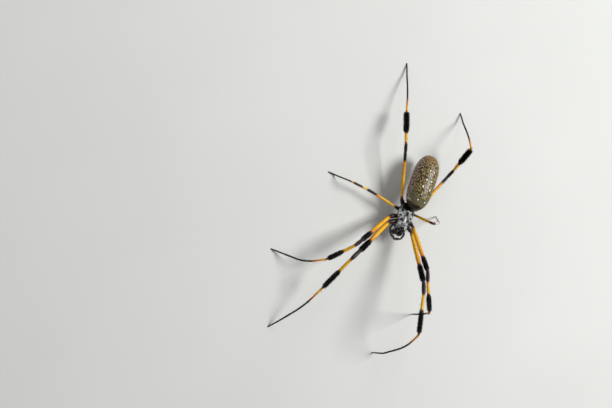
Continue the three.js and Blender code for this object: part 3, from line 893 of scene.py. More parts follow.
@dataclass(frozen=True)
class Brush:
    """A brush of black bristles on one segment: where it starts and ends, and its half width in mm."""

    segment: Segment
    start: float
    end: float
    half: float
    profile: tuple[tuple[float, float], ...] = ((0, 0.72), (0.06, 0.95), (0.3, 1), (0.8, 1), (1, 0.88))


@dataclass(frozen=True)
class LegPair:
    """What both legs of a pair share, in mm: root, hip, segment lengths and radii, brushes and bands."""

    root: tuple[float, float, float]
    hip: tuple[float, float, float]
    coxa: float
    lengths: tuple[float, ...]
    radii: tuple[float, ...]
    brushes: tuple[Brush, ...]
    bands: tuple[tuple[float, str], ...]


def bands(femur: float, tibia: float, metatarsus: float, pale: str = YELLOW, dark: str = BLACK,
          tip: str = "#121012") -> tuple[tuple[float, str], ...]:
    """Colours along a leg.

    Args:
        femur: Share of the femur that is yellow.
        tibia: Share of the tibia that is yellow.
        metatarsus: Share of the metatarsus that is orange.
        pale: The colour at the start of tibia and metatarsus.
        dark: The colour at the ends of femur and tibia.
        tip: The colour of the rest of the leg.

    Returns:
        Places on the leg's scale with their colours.
    """
    return (
        (0.0, COXA), (0.9, MAROON), (1.0, MAROON), (1.04, "#7a3a08"), (1.08, YELLOW),
        (1 + femur * 0.6, YELLOW),
        (1 + femur - 0.04, ORANGE), (1 + femur + 0.005, "#3a1406"), (1 + femur + 0.03, dark),
        (1.96, dark), (2.05, MAROON), (2.95, MAROON), (3.02, "#6a2808"), (3.06, pale),
        (3 + tibia - 0.05, pale), (3 + tibia, "#6a3408"), (3 + tibia + 0.03, dark), (3.93, dark),
        (3.98, "#4a1208"), (4.02, ORANGE), (4.06, pale), (4 + metatarsus * 0.5, ORANGE),
        (4 + metatarsus - 0.03, "#a84a10"), (4 + metatarsus + 0.03, tip), (6.0, tip),
    )


PAIRS = {
    1: LegPair((1.5, -3.3, 5.9), (4.9, -5.15, 6.95), 0.9, (20.0, 4.5, 15.05, 19.5, 4.7),
               (0.74, 0.76, 0.6, 0.36, 0.29),
               (Brush(Segment.FEMUR, 0.66, 0.965, 1.25), Brush(Segment.TIBIA, 0.42, 0.95, 1.14)),
               bands(0.66, 0.41, 0.32)),
    2: LegPair((1.9, -1.7, 5.4), (5.0, -2.9, 6.1), 0.86, (18.3, 4.0, 11.5, 16.1, 4.2),
               (0.72, 0.72, 0.59, 0.35, 0.29),
               (Brush(Segment.FEMUR, 0.69, 0.965, 1.12), Brush(Segment.TIBIA, 0.43, 0.94, 1.12)),
               bands(0.69, 0.42, 0.32)),
    3: LegPair((1.8, 0.9, 5.3), (4.3, 1.0, 6.1), 0.72, (10.4, 2.45, 6.4, 7.2, 2.95),
               (0.5, 0.5, 0.44, 0.3, 0.27), (), bands(0.86, 0.4, 0.17, pale="#e8bf4c", dark="#2a0c0a")),
    4: LegPair((1.2, 2.7, 5.6), (3.3, 4.5, 6.6), 0.82, (17.5, 3.3, 12.1, 14.6, 3.9),
               (0.58, 0.62, 0.58, 0.34, 0.29), (Brush(Segment.TIBIA, 0.34, 0.95, 1.32),),
               bands(0.83, 0.33, 0.34)),
}


@dataclass(frozen=True)
class LegPose:
    """One leg's pose: compass angle and rise of the upper segments, the metatarsus's compass angle and
    its bow forwards and upwards in mm, and both angles of the tarsus."""

    upper: tuple[tuple[float, float], ...]
    metatarsus: float
    bow: tuple[float, float]
    tarsus: tuple[float, float]
    hip: tuple[float, float, float] | None = None
    # colours for this leg alone, in place of its pair's; the left leg III's pale tibia and lavender tip are a
    # painted highlight
    bands: tuple[tuple[float, str], ...] | None = None


POSES = {
    (Side.RIGHT, 1): LegPose(((-127, 24), (-121.5, 10), (-106, -23)), -115.5, (0.3, 0.8), (-122, -30)),
    (Side.RIGHT, 2): LegPose(((-130, 23), (-132.5, 24.5), (-126, -29)), -165, (1.0, 0.5), (179.5, -24)),
    (Side.RIGHT, 3): LegPose(((171, -5.5), (175, 0), (178, 5)), 176, (0, 0.3), (177.5, -11)),
    (Side.RIGHT, 4): LegPose(((113.5, 10), (115.5, 12), (103, -17.5)), 101.5, (0, 0.4), (104, -19)),
    (Side.LEFT, 1): LegPose(((-65.5, 28), (-80.5, 25), (-79, 9)), -103, (0.9, 0.5), (-154, -60)),
    (Side.LEFT, 2): LegPose(((-60.5, 29), (-78, 22), (-72, 17.5)), -20, (0, 0.4), (-17, -80)),
    # painted highlight: the left leg III's tibia is near white, its dark bands lighter and its metatarsus and
    # tarsus pale lavender, where this leg faces the sky and catches the light
    (Side.LEFT, 3): LegPose(((-21.5, 72), (13, -48), (19, -48)), 41, (0, 0.2), (45, -65), bands=bands(
        0.9, 0.8, 0.17, pale="#e0d8d2", dark="#4a2016", tip="#bab6c2")),
    (Side.LEFT, 4): LegPose(((64.5, -5.5), (71.5, 13.5), (93, 42.5)), 98, (0, 0.5), (111, -36),
                            hip=(4.5, 3.1, 6.4)),
}


@dataclass
class Leg:
    """One leg as a continuous skin from its root to its claws, with hair, spines and brushes."""

    pair: int
    side: Side
    foot_height: float = 0.12        # middle of the foot above the floor
    foot_reach: float = 0.3
    corner: float = 0.9              # rounding at each joint
    inset: float = 0.03              # how far the skin lies inside the solid
    sides: int = 24
    fine_step: float = 0.11          # spacing of the skin's rings near a joint
    coarse_step: float = 0.3         # and elsewhere
    floor_clearance: float = 0.01    # the least height of the skin
    claw_clearance: float = 0.005
    brush_rise: float = 0.72         # how far a brush's bristle reaches outwards, over its length
    hair_length: float = 0.48
    foot_hair_shorter: float = 0.16
    body_hair_length: float = 0.55   # on coxa and trochanter
    spine_length: float = 1.25
    foot_spine_shorter: float = 0.35
    hair_in_brush: float = 0.85      # share of the plain hair that a brush takes the place of
    spines_in_brush: float = 0.7     # share of the spines, likewise

    def __post_init__(self) -> None:
        """Works out the leg's path and where its segments start."""
        self.form = PAIRS[self.pair]
        self.name = f"leg{self.pair}_{self.side.word}"
        joints = self.joints()
        roundings = [self.corner] * len(joints)
        roundings[5] = self.form.lengths[3]
        self.path = Path.through(corners_rounded(joints, roundings))
        steps = [np.linalg.norm(b - a) for a, b in zip(joints, joints[1:])]
        marks = np.concatenate([[0], np.cumsum(steps)])
        self.marks = marks * self.path.length / marks[-1]

    def joints(self) -> list[np.ndarray]:
        """Root, hip, knee, end of the patella, ankle, top of the metatarsus's bow, heel and foot."""
        form, pose = self.form, POSES[self.side, self.pair]
        mirror = np.array([self.side.value, 1, 1])
        joints = [np.array(form.root) * mirror, np.array(pose.hip or form.hip) * mirror]
        for (yaw, pitch), length in zip(pose.upper, form.lengths):
            joints.append(joints[-1] + direction(yaw, pitch) * length)
        tarsus = direction(*pose.tarsus) * form.lengths[4]
        ankle = joints[4]
        drop = ankle[2] - self.foot_height + tarsus[2]
        slope = -math.degrees(math.asin(drop / form.lengths[3]))
        heel = ankle + direction(pose.metatarsus, slope) * form.lengths[3]
        forward = unit(np.array([heel[1] - ankle[1], ankle[0] - heel[0], 0]))
        forward = forward if forward[1] < 0 else -forward
        bow = (ankle + heel) / 2 + forward * 2 * pose.bow[0] + np.array([0, 0, 2 * pose.bow[1]])
        foot = heel + unit(tarsus) * (form.lengths[4] + self.foot_reach)
        return [*joints, bow, heel, foot]

    def between(self, mark: int, share: float) -> float:
        """The arc length at a share of the way from one mark to the next."""
        return float(self.marks[mark] + (self.marks[mark + 1] - self.marks[mark]) * share)

    def station(self, s: np.ndarray) -> np.ndarray:
        """Places on the leg's scale: a whole number where each segment starts."""
        marks = self.marks[[0, 1, 2, 3, 4, 6, 7]]
        return np.interp(s, marks, np.arange(LEG_SCALE_END + 1))

    def radii(self, s: np.ndarray) -> np.ndarray:
        """Radius of the bare leg at arc lengths, with the necks and condyles at its joints."""
        coxa = self.form.coxa
        femur, patella, tibia, metatarsus, tarsus = self.form.radii
        rows = [
            (0, coxa * 0.9), (self.between(0, 0.4), coxa), (self.between(0, 0.66), coxa * 0.94),
            (self.between(0, 0.72), coxa * 0.74), (self.between(0, 0.8), coxa * 0.84),
            (self.between(0, 0.92), coxa * 0.8), (self.marks[1], coxa * 0.62),
            (self.between(1, 0.06), femur * 0.84), (self.between(1, 0.12), femur * 0.88),
            (self.between(1, 0.35), femur), (self.between(1, 0.85), femur * 0.94),
            (self.between(1, 0.97), femur), (self.marks[2], patella * 0.9),
            (self.between(2, 0.15), patella * 0.95), (self.between(2, 0.5), patella),
            (self.between(2, 0.9), patella * 0.94), (self.marks[3], patella * 0.76),
            (self.between(3, 0.05), tibia * 0.9), (self.between(3, 0.12), tibia * 0.96),
            (self.between(3, 0.6), tibia), (self.between(3, 0.94), tibia), (self.marks[4], metatarsus * 1.25),
            (self.between(4, 0.3), metatarsus), (self.between(4, 0.7), metatarsus),
            (self.marks[5], metatarsus * 0.96), (self.between(5, 0.4), metatarsus * 0.94),
            (self.between(5, 0.8), metatarsus * 0.93), (self.marks[6], tarsus * 1.08),
            (self.between(6, 0.5), tarsus), (self.marks[7], tarsus * 0.8),
        ]
        blur = 0.12
        near = [table(rows, s + shift * blur) for shift in (-2, -1, 0, 1, 2)]
        radius = np.average(near, axis=0, weights=(1, 2, 3, 2, 1)) - self.inset
        for mark, depth in ((1, 0.12), (2, 0.2), (3, 0.1), (4, 0.22), (6, 0.16)):
            radius = radius * (1 - depth * bump_at(self.marks[mark], 0.16, s))
        return radius

    def rings_at(self) -> np.ndarray:
        """Arc lengths of the skin's rings, closer about the joints."""
        s = [0.0]
        while s[-1] < self.path.length:
            near = np.abs(self.marks - s[-1]).min() < 1.0
            s.append(s[-1] + (self.fine_step if near else self.coarse_step))
        return np.array([*s[:-1], self.path.length])

    def brush_at(self, s: np.ndarray) -> tuple[np.ndarray, np.ndarray]:
        """How thickly bristles stand at arc lengths, and how far they reach from the leg's middle."""
        cover, half = np.zeros_like(s), np.zeros_like(s)
        for brush in self.form.brushes:
            mark = brush.segment.value
            start, end = self.between(mark, brush.start), self.between(mark, brush.end)
            share = (s - start) / (end - start)
            inside = (share > -0.02) & (share < 1)
            cover = np.where(inside, 1.0, cover)
            half = np.where(inside, brush.half * table(brush.profile, share), half)
        return cover, half

    def skin(self) -> Skin:
        """The skin with its values for bands and coats."""
        s = self.rings_at()
        radius = self.radii(s)
        angle = around_angles(self.sides)
        station = self.station(s)
        under = 0.5 - 0.5 * np.cos(angle)
        knee = bump_at(self.marks[2] + 0.45, 0.5, s)[:, None] * 0.1 * np.cos(angle)
        wide = np.repeat(radius[:, None], self.sides, 1)
        rings = tube(self.path, s, wide, wide * (1 + knee), self.sides)
        rings[..., 2] = np.maximum(rings[..., 2], self.floor_clearance)
        cover, half = self.brush_at(s)
        hidden = soft_step(self.marks[1] * 0.3, self.marks[1] * 0.5, s)
        body = station < 1
        lower = soft_step(4.0, 4.3, station)
        clear = soft_step(0.3, 0.7, rings[..., 2])
        spiny = soft_step(3.0, 3.1, station) * (1 - soft_step(5.0, 5.1, station))
        spiny = spiny + 0.5 * soft_step(1.2, 1.3, station) * (1 - soft_step(1.9, 2.0, station))
        return Skin(f"{self.name}_skin", rings, {
            "station": station, "underside": under[None] * np.ones_like(s)[:, None],
            "brush_cover": cover, "brush_length": np.maximum(half - radius, 0.05) / self.brush_rise,
            "hair_cover": (hidden * (1 - self.hair_in_brush * (cover > 0)) * np.where(body, 0.9, 1)
                           * (1 + 0.5 * lower))[:, None] * clear,
            "hair_length": np.where(body, self.body_hair_length,
                                    self.hair_length - self.foot_hair_shorter * lower),
            "spine_cover": spiny * (1 - self.spines_in_brush * (cover > 0)),
            "spine_length": self.spine_length - self.foot_spine_shorter * lower,
        })

    def claws(self, material: object) -> object:
        """Three small hooked claws at the foot."""
        tangent, side, _ = (v[0] for v in self.path.axes(np.array([self.path.length])))
        foot = self.path.at(np.array([self.path.length - 0.12]))[0]
        ahead = unit(np.array([tangent[0], tangent[1], 0.0]) + 1e-6)
        claws = []
        for spread, size in ((-0.5, 1.0), (0.5, 1.0), (0.0, 0.6)):
            out = unit(ahead + side * spread)
            line = [foot + out * 0.34 * size * t + np.array([0, 0, 1]) * 0.22 * size * (t - 1.35 * t * t)
                    for t in np.linspace(0, 1, 7)]
            path = Path.through(np.array(line))
            s = np.linspace(0, path.length, 6)
            radius = 0.07 * size * (1 - 0.85 * s / path.length)
            rings = tube(path, s, radius, radius, 8)
            rings[..., 2] = np.maximum(rings[..., 2], self.claw_clearance)
            claws.append(Skin("claw", rings))
        return joined(f"{self.name}_claws", claws, material)

    def build(self, looks: "Looks") -> None:
        """Builds the leg's pieces and dresses them."""
        skin = self.skin().build(looks.cuticle[self.side, self.pair])
        nodes = tuple(f"{part}{self.pair}_{self.side.word}" for part in ("coxa", "femur", "tibia", "tarsus"))
        finish_piece(skin, nodes)
        finish_piece(self.claws(looks.claw))
        seed = self.pair * 10 + (self.side is Side.LEFT)
        hair = Coat("hair", per_mm2=13.0, thickness=0.05, lift=30, root_lift=55, sway=22, seed=seed)
        hair.grow(skin, f"{self.name}_hair", looks.leg_hair[self.side, self.pair], "banded_limb")
        spines = Coat("spine", per_mm2=0.4, thickness=0.035, lift=38, root_lift=50,
                      sway=12, spread=0.2, steps=3, sides=5, seed=seed)
        spines.grow(skin, f"{self.name}_spines", looks.bristle, "dark_limb")
        if self.form.brushes:
            brush = Coat("brush", per_mm2=75.0, thickness=0.045, lift=46, root_lift=60,
                         sway=14, spread=0.28, seed=seed)
            brush.grow(skin, f"{self.name}_brush", looks.bristle, "dark_limb")


# Body

@dataclass
class Cephalothorax:
    """Carapace with its head region, grooves and margin, the sternum under it, and the waist."""

    y: tuple[float, ...] = (-6.8, -6.5, -5.75, -4.55, -3.2, -1.7, -0.4, 1.0, 2.2, 3.2, 3.9)
    half: tuple[float, ...] = (1.55, 2.1, 2.35, 2.4, 2.55, 3.05, 3.4, 3.42, 3.1, 2.4, 1.3)
    top: tuple[float, ...] = (8.0, 8.45, 8.82, 9.0, 8.98, 8.75, 8.6, 8.55, 8.2, 7.75, 7.35)
    bottom: tuple[float, ...] = (7.3, 6.6, 5.5, 4.9, 4.55, 4.4, 4.35, 4.5, 4.95, 5.7, 6.35)
    margin: float = 7.3
    margin_below_top: float = 0.35
    margin_above_bottom: float = 0.3
    sternum_share: float = 0.62
    narrowing: float = 1.9
    inset: float = 0.06
    rows: int = 132
    sides: int = 120
    fovea: tuple[float, float] = (0.0, -0.2)
    humps: tuple[float, float, float] = (0.5, -4.0, 0.24)    # x, y and width
    hump_height: float = 0.42
    # The groove behind the head region: where it starts behind the fovea, its slope and the length of a
    # step along it, its depth and its width
    neck_start: float = 0.55
    neck_slope: float = 1.05
    neck_step: float = 1.45
    neck_depth: float = 0.24
    neck_width: float = 0.3
    # The fovea: depth, half width and half length
    pit: tuple[float, float, float] = (0.34, 0.42, 0.75)
    spoke_depth: float = 0.09        # grooves that run out from the fovea
    spoke_turns: float = 6.5
    spokes_start: float = 1.6        # how far ahead of the fovea they begin
    edge_ridge: float = 0.05         # how far the margin stands out
    skin_silver: float = 0.8         # how much of the hair's silver the skin below it shows
    # Bare dark patches: x, y and radius, one of each to either side
    bald: tuple[tuple[float, float, float], ...] = (
        (2.1, 0.6, 0.55), (2.2, -1.15, 0.5), (1.2, -2.55, 0.72), (0.8, 0.9, 0.55), (2.75, -0.1, 0.3),
        (2.5, -2.1, 0.3), (2.3, -3.1, 0.26), (0.0, -0.3, 0.6),
    )
    face: float = -6.0               # the silver hair ends here, mm
    brow: float = 1.1                # how much sooner it ends on the middle line, mm

    waist: tuple[tuple[float, float, float], ...] = ((0, 3.5, 6.75), (0.25, 5.9, 7.6))
    waist_radius: float = 0.5

    def groove(self, x: np.ndarray, y: np.ndarray) -> np.ndarray:
        """Depth in mm of the grooves that part the head region and run out from the fovea."""
        fx, fy = self.fovea
        across = np.abs(x - fx)
        neck = np.abs(y - (fy - self.neck_start - self.neck_slope * across)) / self.neck_step
        cervical = self.neck_depth * np.exp(-(neck / self.neck_width) ** 2) * soft_step(0.1, 0.9, across)
        deep, wide, long = self.pit
        pit = deep * np.exp(-(across / wide) ** 2 - ((y - fy) / long) ** 2)
        angle = np.arctan2(y - fy, across)
        reach = np.hypot(across, y - fy)
        ray = np.maximum(0, np.cos(angle * self.spoke_turns)) ** 4
        spokes = self.spoke_depth * ray * soft_step(0.6, 1.4, reach)
        return cervical + pit + spokes * (y > fy - self.spokes_start)

    def skin(self) -> Skin:
        """The skin with its values for silver hair and bare patches."""
        t = 0.5 - 0.5 * np.cos(np.linspace(0.04, 0.985, self.rows) * math.pi)
        t[0] = 0
        t[-1] = 1
        y, half, top, bottom = (smooth_rows(list(v), t) for v in (self.y, self.half, self.top, self.bottom))
        rim = np.maximum(np.minimum(self.margin, top - self.margin_below_top),
                         bottom + self.margin_above_bottom)
        angle = around_angles(self.sides)
        lift = np.cos(angle)
        narrow = np.where(lift < 0, 1 - (1 - self.sternum_share) * np.minimum(1, -self.narrowing * lift), 1)
        height = np.where(lift < 0, (rim - bottom)[:, None], (top - rim)[:, None]) - self.inset
        x = (half - self.inset)[:, None] * narrow * np.sin(angle)
        rings = np.stack([x, np.broadcast_to(y[:, None], x.shape), rim[:, None] + height * lift], -1)
        above = soft_step(0.1, 0.45, lift)[None] * np.ones_like(x)
        rings[..., 2] -= self.groove(x, rings[..., 1]) * above
        hx, hy, hw = self.humps
        for sign in (-1, 1):
            gap = np.hypot(x - sign * hx, rings[..., 1] - hy)
            rings[..., 2] += self.hump_height * np.exp(-(gap / hw) ** 2) * above
        ridge = np.exp(-((lift - 0.02) / 0.07) ** 2)
        rings[..., 0] += np.sign(x) * self.edge_ridge * ridge
        bare = np.zeros_like(x)
        for bx, by, wide in self.bald:
            bare = np.maximum(bare, np.exp(-(np.hypot(np.abs(x) - bx, rings[..., 1] - by) / wide) ** 4))
        rear = soft_step(0.2, 1.8, rings[..., 1]) * (1 - 0.5 * soft_step(2.2, 3.0, np.abs(x)))
        brow = self.face + self.brow * np.exp(-(x / 1.1) ** 4)
        face = 1 - soft_step(-0.25, 0.15, rings[..., 1] - brow)
        middle = 0.75 * np.exp(-(x / 1.35) ** 2) * soft_step(-5.2, -2.2, rings[..., 1])
        silver = above * (1 - bare) * (1 - 0.9 * rear) * (1 - face) * (1 - middle)
        sternum = soft_step(-0.55, -0.8, lift)[None] * soft_step(-4.8, -4.3, rings[..., 1])
        return Skin("cephalothorax_skin", rings, {
            "silver": silver ** 2 * self.skin_silver, "sternum": sternum,
            "hair_cover": silver ** 2, "hair_length": 0.3 + 0.16 * silver,
            "dark_cover": (1 - silver) * (lift > -0.3), "dark_length": 0.3 + 0.15 * face,
            "down_cover": sternum, "down_length": np.full_like(x, 0.4),
        })

    def pedicel(self) -> Skin:
        """The thin waist between the two halves of the body."""
        path = Path.through(np.linspace(*[np.array(p, float) for p in self.waist], 30))
        s = np.linspace(0, path.length, 24)
        radius = self.waist_radius * (0.86 + 0.1 * np.cos(s * 6))
        return Skin("pedicel_skin", tube(path, s, radius, radius * 0.9, 28))

    def build(self, looks: "Looks") -> None:
        """Builds the cephalothorax and its coats."""
        skin = self.skin().build(looks.carapace)
        finish_piece(skin, ("cephalothorax",))
        finish_piece(self.pedicel().build(looks.mouth))
        hair = Coat("hair", per_mm2=300.0, thickness=0.055, lift=9, root_lift=24,
                    sway=26, spread=0.35, seed=4)
        hair.grow(skin, "carapace_hair", looks.silver, "carapace")
        dark = Coat("dark", per_mm2=22.0, thickness=0.045, lift=30, root_lift=50, sway=25, seed=6)
        dark.grow(skin, "carapace_bristles", looks.bristle, "carapace")
        down = Coat("down", per_mm2=14.0, thickness=0.04, lift=30, root_lift=60, sway=25, seed=5)
        down.grow(skin, "sternum_hair", looks.bristle, "carapace")


@dataclass
class Abdomen:
    """The long abdomen with its rows of specks, its spots and its short hair."""

    length: float = 21.3
    half_width: float = 4.72
    half_height: float = 4.55
    centre: tuple[float, float, float] = (1.12, 12.62, 9.0)
    turn: tuple[float, float, float] = (-8.0, 7.0, -1.8)      # pitch, roll and yaw, degrees
    front_power: float = 3.2
    rear_power: float = 3.3
    inset: float = 0.07
    rows: int = 230
    sides: int = 200
    middle: float = -5.0             # where the pattern's middle line lies, degrees from the top
    collar: float = 0.065            # how far the dark front reaches, over the length
    spot_pit: float = 0.06           # how deep a spot lies, mm
    line_pit: float = 0.05           # how deep the middle line lies, mm
    hair_length: float = 0.34
    # Angles from the middle line, in radians, over which a region of the pattern sets in; sheen_end is where
    # the painted sheen, a painted highlight, fades out
    flank: tuple[float, float] = (0.8, 1.5)
    belly: tuple[float, float] = (2.0, 2.5)
    shoulder: tuple[float, float] = (0.9, 1.4)
    shoulder_end: tuple[float, float] = (1.9, 2.2)
    sheen_end: tuple[float, float] = (1.3, 1.6)
    # Shares of the length from front to tail
    pattern_start: tuple[float, float] = (0.1, 0.2)
    tip: tuple[float, float] = (0.93, 0.975)
    line_width: float = 0.13         # of the dark middle line, mm
    # Spots: distance from the front end in mm, degrees to either side of the middle line, and radius in mm
    spots: tuple[tuple[float, float, float], ...] = (
        (3.5, 22, 0.46), (5.6, 14, 0.26), (8.3, 19.5, 0.54), (11.4, 13, 0.46), (14.95, 11, 0.38),
        (11.7, 60, 0.3), (14.4, 48, 0.3), (15.6, 51, 0.28), (17.5, 52, 0.27), (6.6, 64, 0.27),
        (17.3, 9, 0.2), (10.0, 40, 0.2), (13.0, 34, 0.18), (7.2, 44, 0.2),
    )

    def place(self) -> np.ndarray:
        """The abdomen's turn as a matrix."""
        pitch, roll, yaw = (math.radians(v) for v in self.turn)
        turn = Matrix.Rotation(yaw, 3, "Z") @ Matrix.Rotation(pitch, 3, "X") @ Matrix.Rotation(roll, 3, "Y")
        return np.array(turn)

    def share(self, t: np.ndarray) -> np.ndarray:
        """Width over the greatest width at places from 0 at the front to 1 at the tail."""
        power = np.where(t < 0.5, self.front_power, self.rear_power)
        return np.sqrt(np.maximum(0, 1 - np.abs(2 * t - 1) ** power))

    def spot_values(self, x: np.ndarray, y: np.ndarray) -> tuple[np.ndarray, np.ndarray]:
        """How far each point lies in a spot, and in the dark rim round one.

        Args:
            x: Distance round the body from the middle line, mm.
            y: Distance from the front end, mm.

        Returns:
            Both values, 0 to 1.
        """
        spot, rim = np.zeros_like(x), np.zeros_like(x)
        rng = np.random.default_rng(3)
        girth = math.pi * (self.half_width + self.half_height) / 360
        for along, degrees, radius in self.spots:
            for sign in (-1, 1):
                dx, dy = rng.normal(0, 0.06, 2)
                gap = np.hypot((x - sign * degrees * girth - dx) / 0.85, y - along - dy)
                spot = np.maximum(spot, 1 - soft_step(radius * 0.62, radius * 0.95, gap))
                rim = np.maximum(rim, 1 - soft_step(radius * 0.95, radius * 1.75, gap))
        return spot, rim

    def skin(self) -> Skin:
        """The skin with its values for markings and hair."""
        t = 0.5 - 0.5 * np.cos(np.linspace(0.008, 0.992, self.rows) * math.pi)
        angle = around_angles(self.sides)
        share = self.share(t)[:, None]
        y = np.broadcast_to(((t - 0.5) * self.length)[:, None], (self.rows, self.sides))
        x = (self.half_width - self.inset) * share * np.sin(angle)
        z = (self.half_height - self.inset) * share * np.cos(angle)
        turned = angle - math.radians(self.middle)
        turned = (turned + math.pi) % (2 * math.pi) - math.pi
        round_mm = turned * (self.half_width + self.half_height) / 2 * np.sqrt(share)
        spot, rim = self.spot_values(round_mm, y + self.length / 2)
        pits = self.spot_pit * spot + self.line_pit * np.exp(-(turned / 0.05) ** 2) * np.ones_like(share)
        scale = 1 - pits / self.half_height
        rings = np.stack([x * scale, y, z * scale], -1) @ self.place().T + np.array(self.centre)
        away = np.abs(turned)
        flank = soft_step(*self.flank, away) * soft_step(*self.pattern_start, t)[:, None]
        belly = soft_step(*self.belly, away) * np.ones_like(share)
        collar = self.collar + 0.06 * soft_step(0.6, 1.6, away)
        rear_of_collar = t[:, None] - collar
        shoulder = np.exp(-((rear_of_collar - 0.025) / 0.014) ** 2) * soft_step(*self.shoulder, away)
        shoulder = shoulder * (1 - soft_step(*self.shoulder_end, away))
        front = 1 - soft_step(-0.012, 0.012, rear_of_collar)
        # painted sheen: a band behind the dark front, on the back and flanks, painted lighter as a highlight;
        # the specks thin out under it
        glow = 0.07 + 0.1 * soft_step(0.2, 0.9, away)
        sheen = soft_step(0.0, 0.03, rear_of_collar) * (1 - soft_step(0, 0.07, rear_of_collar - glow))
        sheen = sheen * (1 - soft_step(*self.sheen_end, away))
        median = np.exp(-(round_mm / self.line_width) ** 2)
        median = median * soft_step(*self.pattern_start, t)[:, None] * 0.75
        stipple = (1 - front) * (1 - 0.7 * sheen) * (1 - rim * 0.85) * (1 - 0.8 * belly)
        stipple = stipple * (1 - 0.75 * soft_step(*self.tip, t))[:, None]
        return Skin("abdomen_skin", rings, {
            "along": t, "flank": flank, "belly": belly * 0.75, "median": median, "spot": spot,
            "spot_rim": rim * 0.8, "shoulder": shoulder * 0.8, "stipple": stipple, "front": front,
            "sheen": sheen * 0.75,
            "hair_cover": soft_step(0.02, 0.1, t)[:, None] * np.ones_like(angle),
            "hair_length": np.full_like(x, self.hair_length),
        })

    def build(self, looks: "Looks") -> None:
        """Builds the abdomen and its coat."""
        skin = self.skin().build(looks.abdomen)
        finish_piece(skin, ("abdomen",))
        hair = Coat("hair", per_mm2=20.0, thickness=0.035, lift=22, root_lift=45, sway=22, seed=8)
        hair.grow(skin, "abdomen_hair", looks.fine_hair, "abdomen")


@dataclass
class Spinnerets:
    """Six short tapered spinnerets on a mound under the tail."""

    abdomen: Abdomen
    along: float = 0.83
    drop: float = 0.97
    lean: float = 0.55
    length: float = 1.5
    radius: float = 0.4
    ring: float = 0.62
    mound: float = 1.12
    count: int = 6

    def build(self, looks: "Looks") -> None:
        """Builds the mound and the spinnerets."""
        body = self.abdomen
        turn = body.place()
        share = float(body.share(np.array([self.along]))[0])
        seat = np.array([0, (self.along - 0.5) * body.length, -body.half_height * share * self.drop])
        centre = turn @ seat + np.array(body.centre)
        axis = turn @ unit(np.array([0, self.lean, -1.0]))
        aside = turn @ np.array([1.0, 0, 0])
        ahead = np.cross(axis, aside)
        mound = Path.through(np.linspace(centre - axis * 0.3, centre + axis * self.mound, 40), tuple(aside))
        s = np.linspace(0, mound.length, 20)
        swell = self.mound * np.sqrt(np.maximum(0.02, 1 - (s / mound.length) ** 2.4))
        skin = Skin("spinneret_mound", tube(mound, s, swell, swell, 32)).build(looks.spinneret)
        finish_piece(skin, ("spinnerets",))
        for i in range(self.count):
            angle = 2 * math.pi * (i + 0.5) / self.count
            foot = centre + aside * self.ring * math.cos(angle) + ahead * self.ring * math.sin(angle)
            tip = foot + axis * (self.mound + self.length * 0.62) + (centre - foot) * 0.35
            path = Path.through(np.linspace(foot, tip, 30), tuple(aside))
            s = np.linspace(0, path.length, 26)
            u = s / path.length
            radius = self.radius * (1 - 0.62 * u * u) * (1 - 0.14 * bump_at(0.78, 0.03, u))
            cone = Skin(f"spinneret_{i + 1}", tube(path, s, radius, radius, 20), {
                "hair_cover": soft_step(0.5, 0.6, u), "hair_length": np.full_like(u, 0.3),
            })
            obj = finish_piece(cone.build(looks.spinneret))
            fringe = Coat("hair", per_mm2=30.0, thickness=0.05, lift=35, root_lift=50, seed=30 + i)
            fringe.grow(obj, f"spinneret_{i + 1}_hair", looks.bristle, "abdomen")


# Head

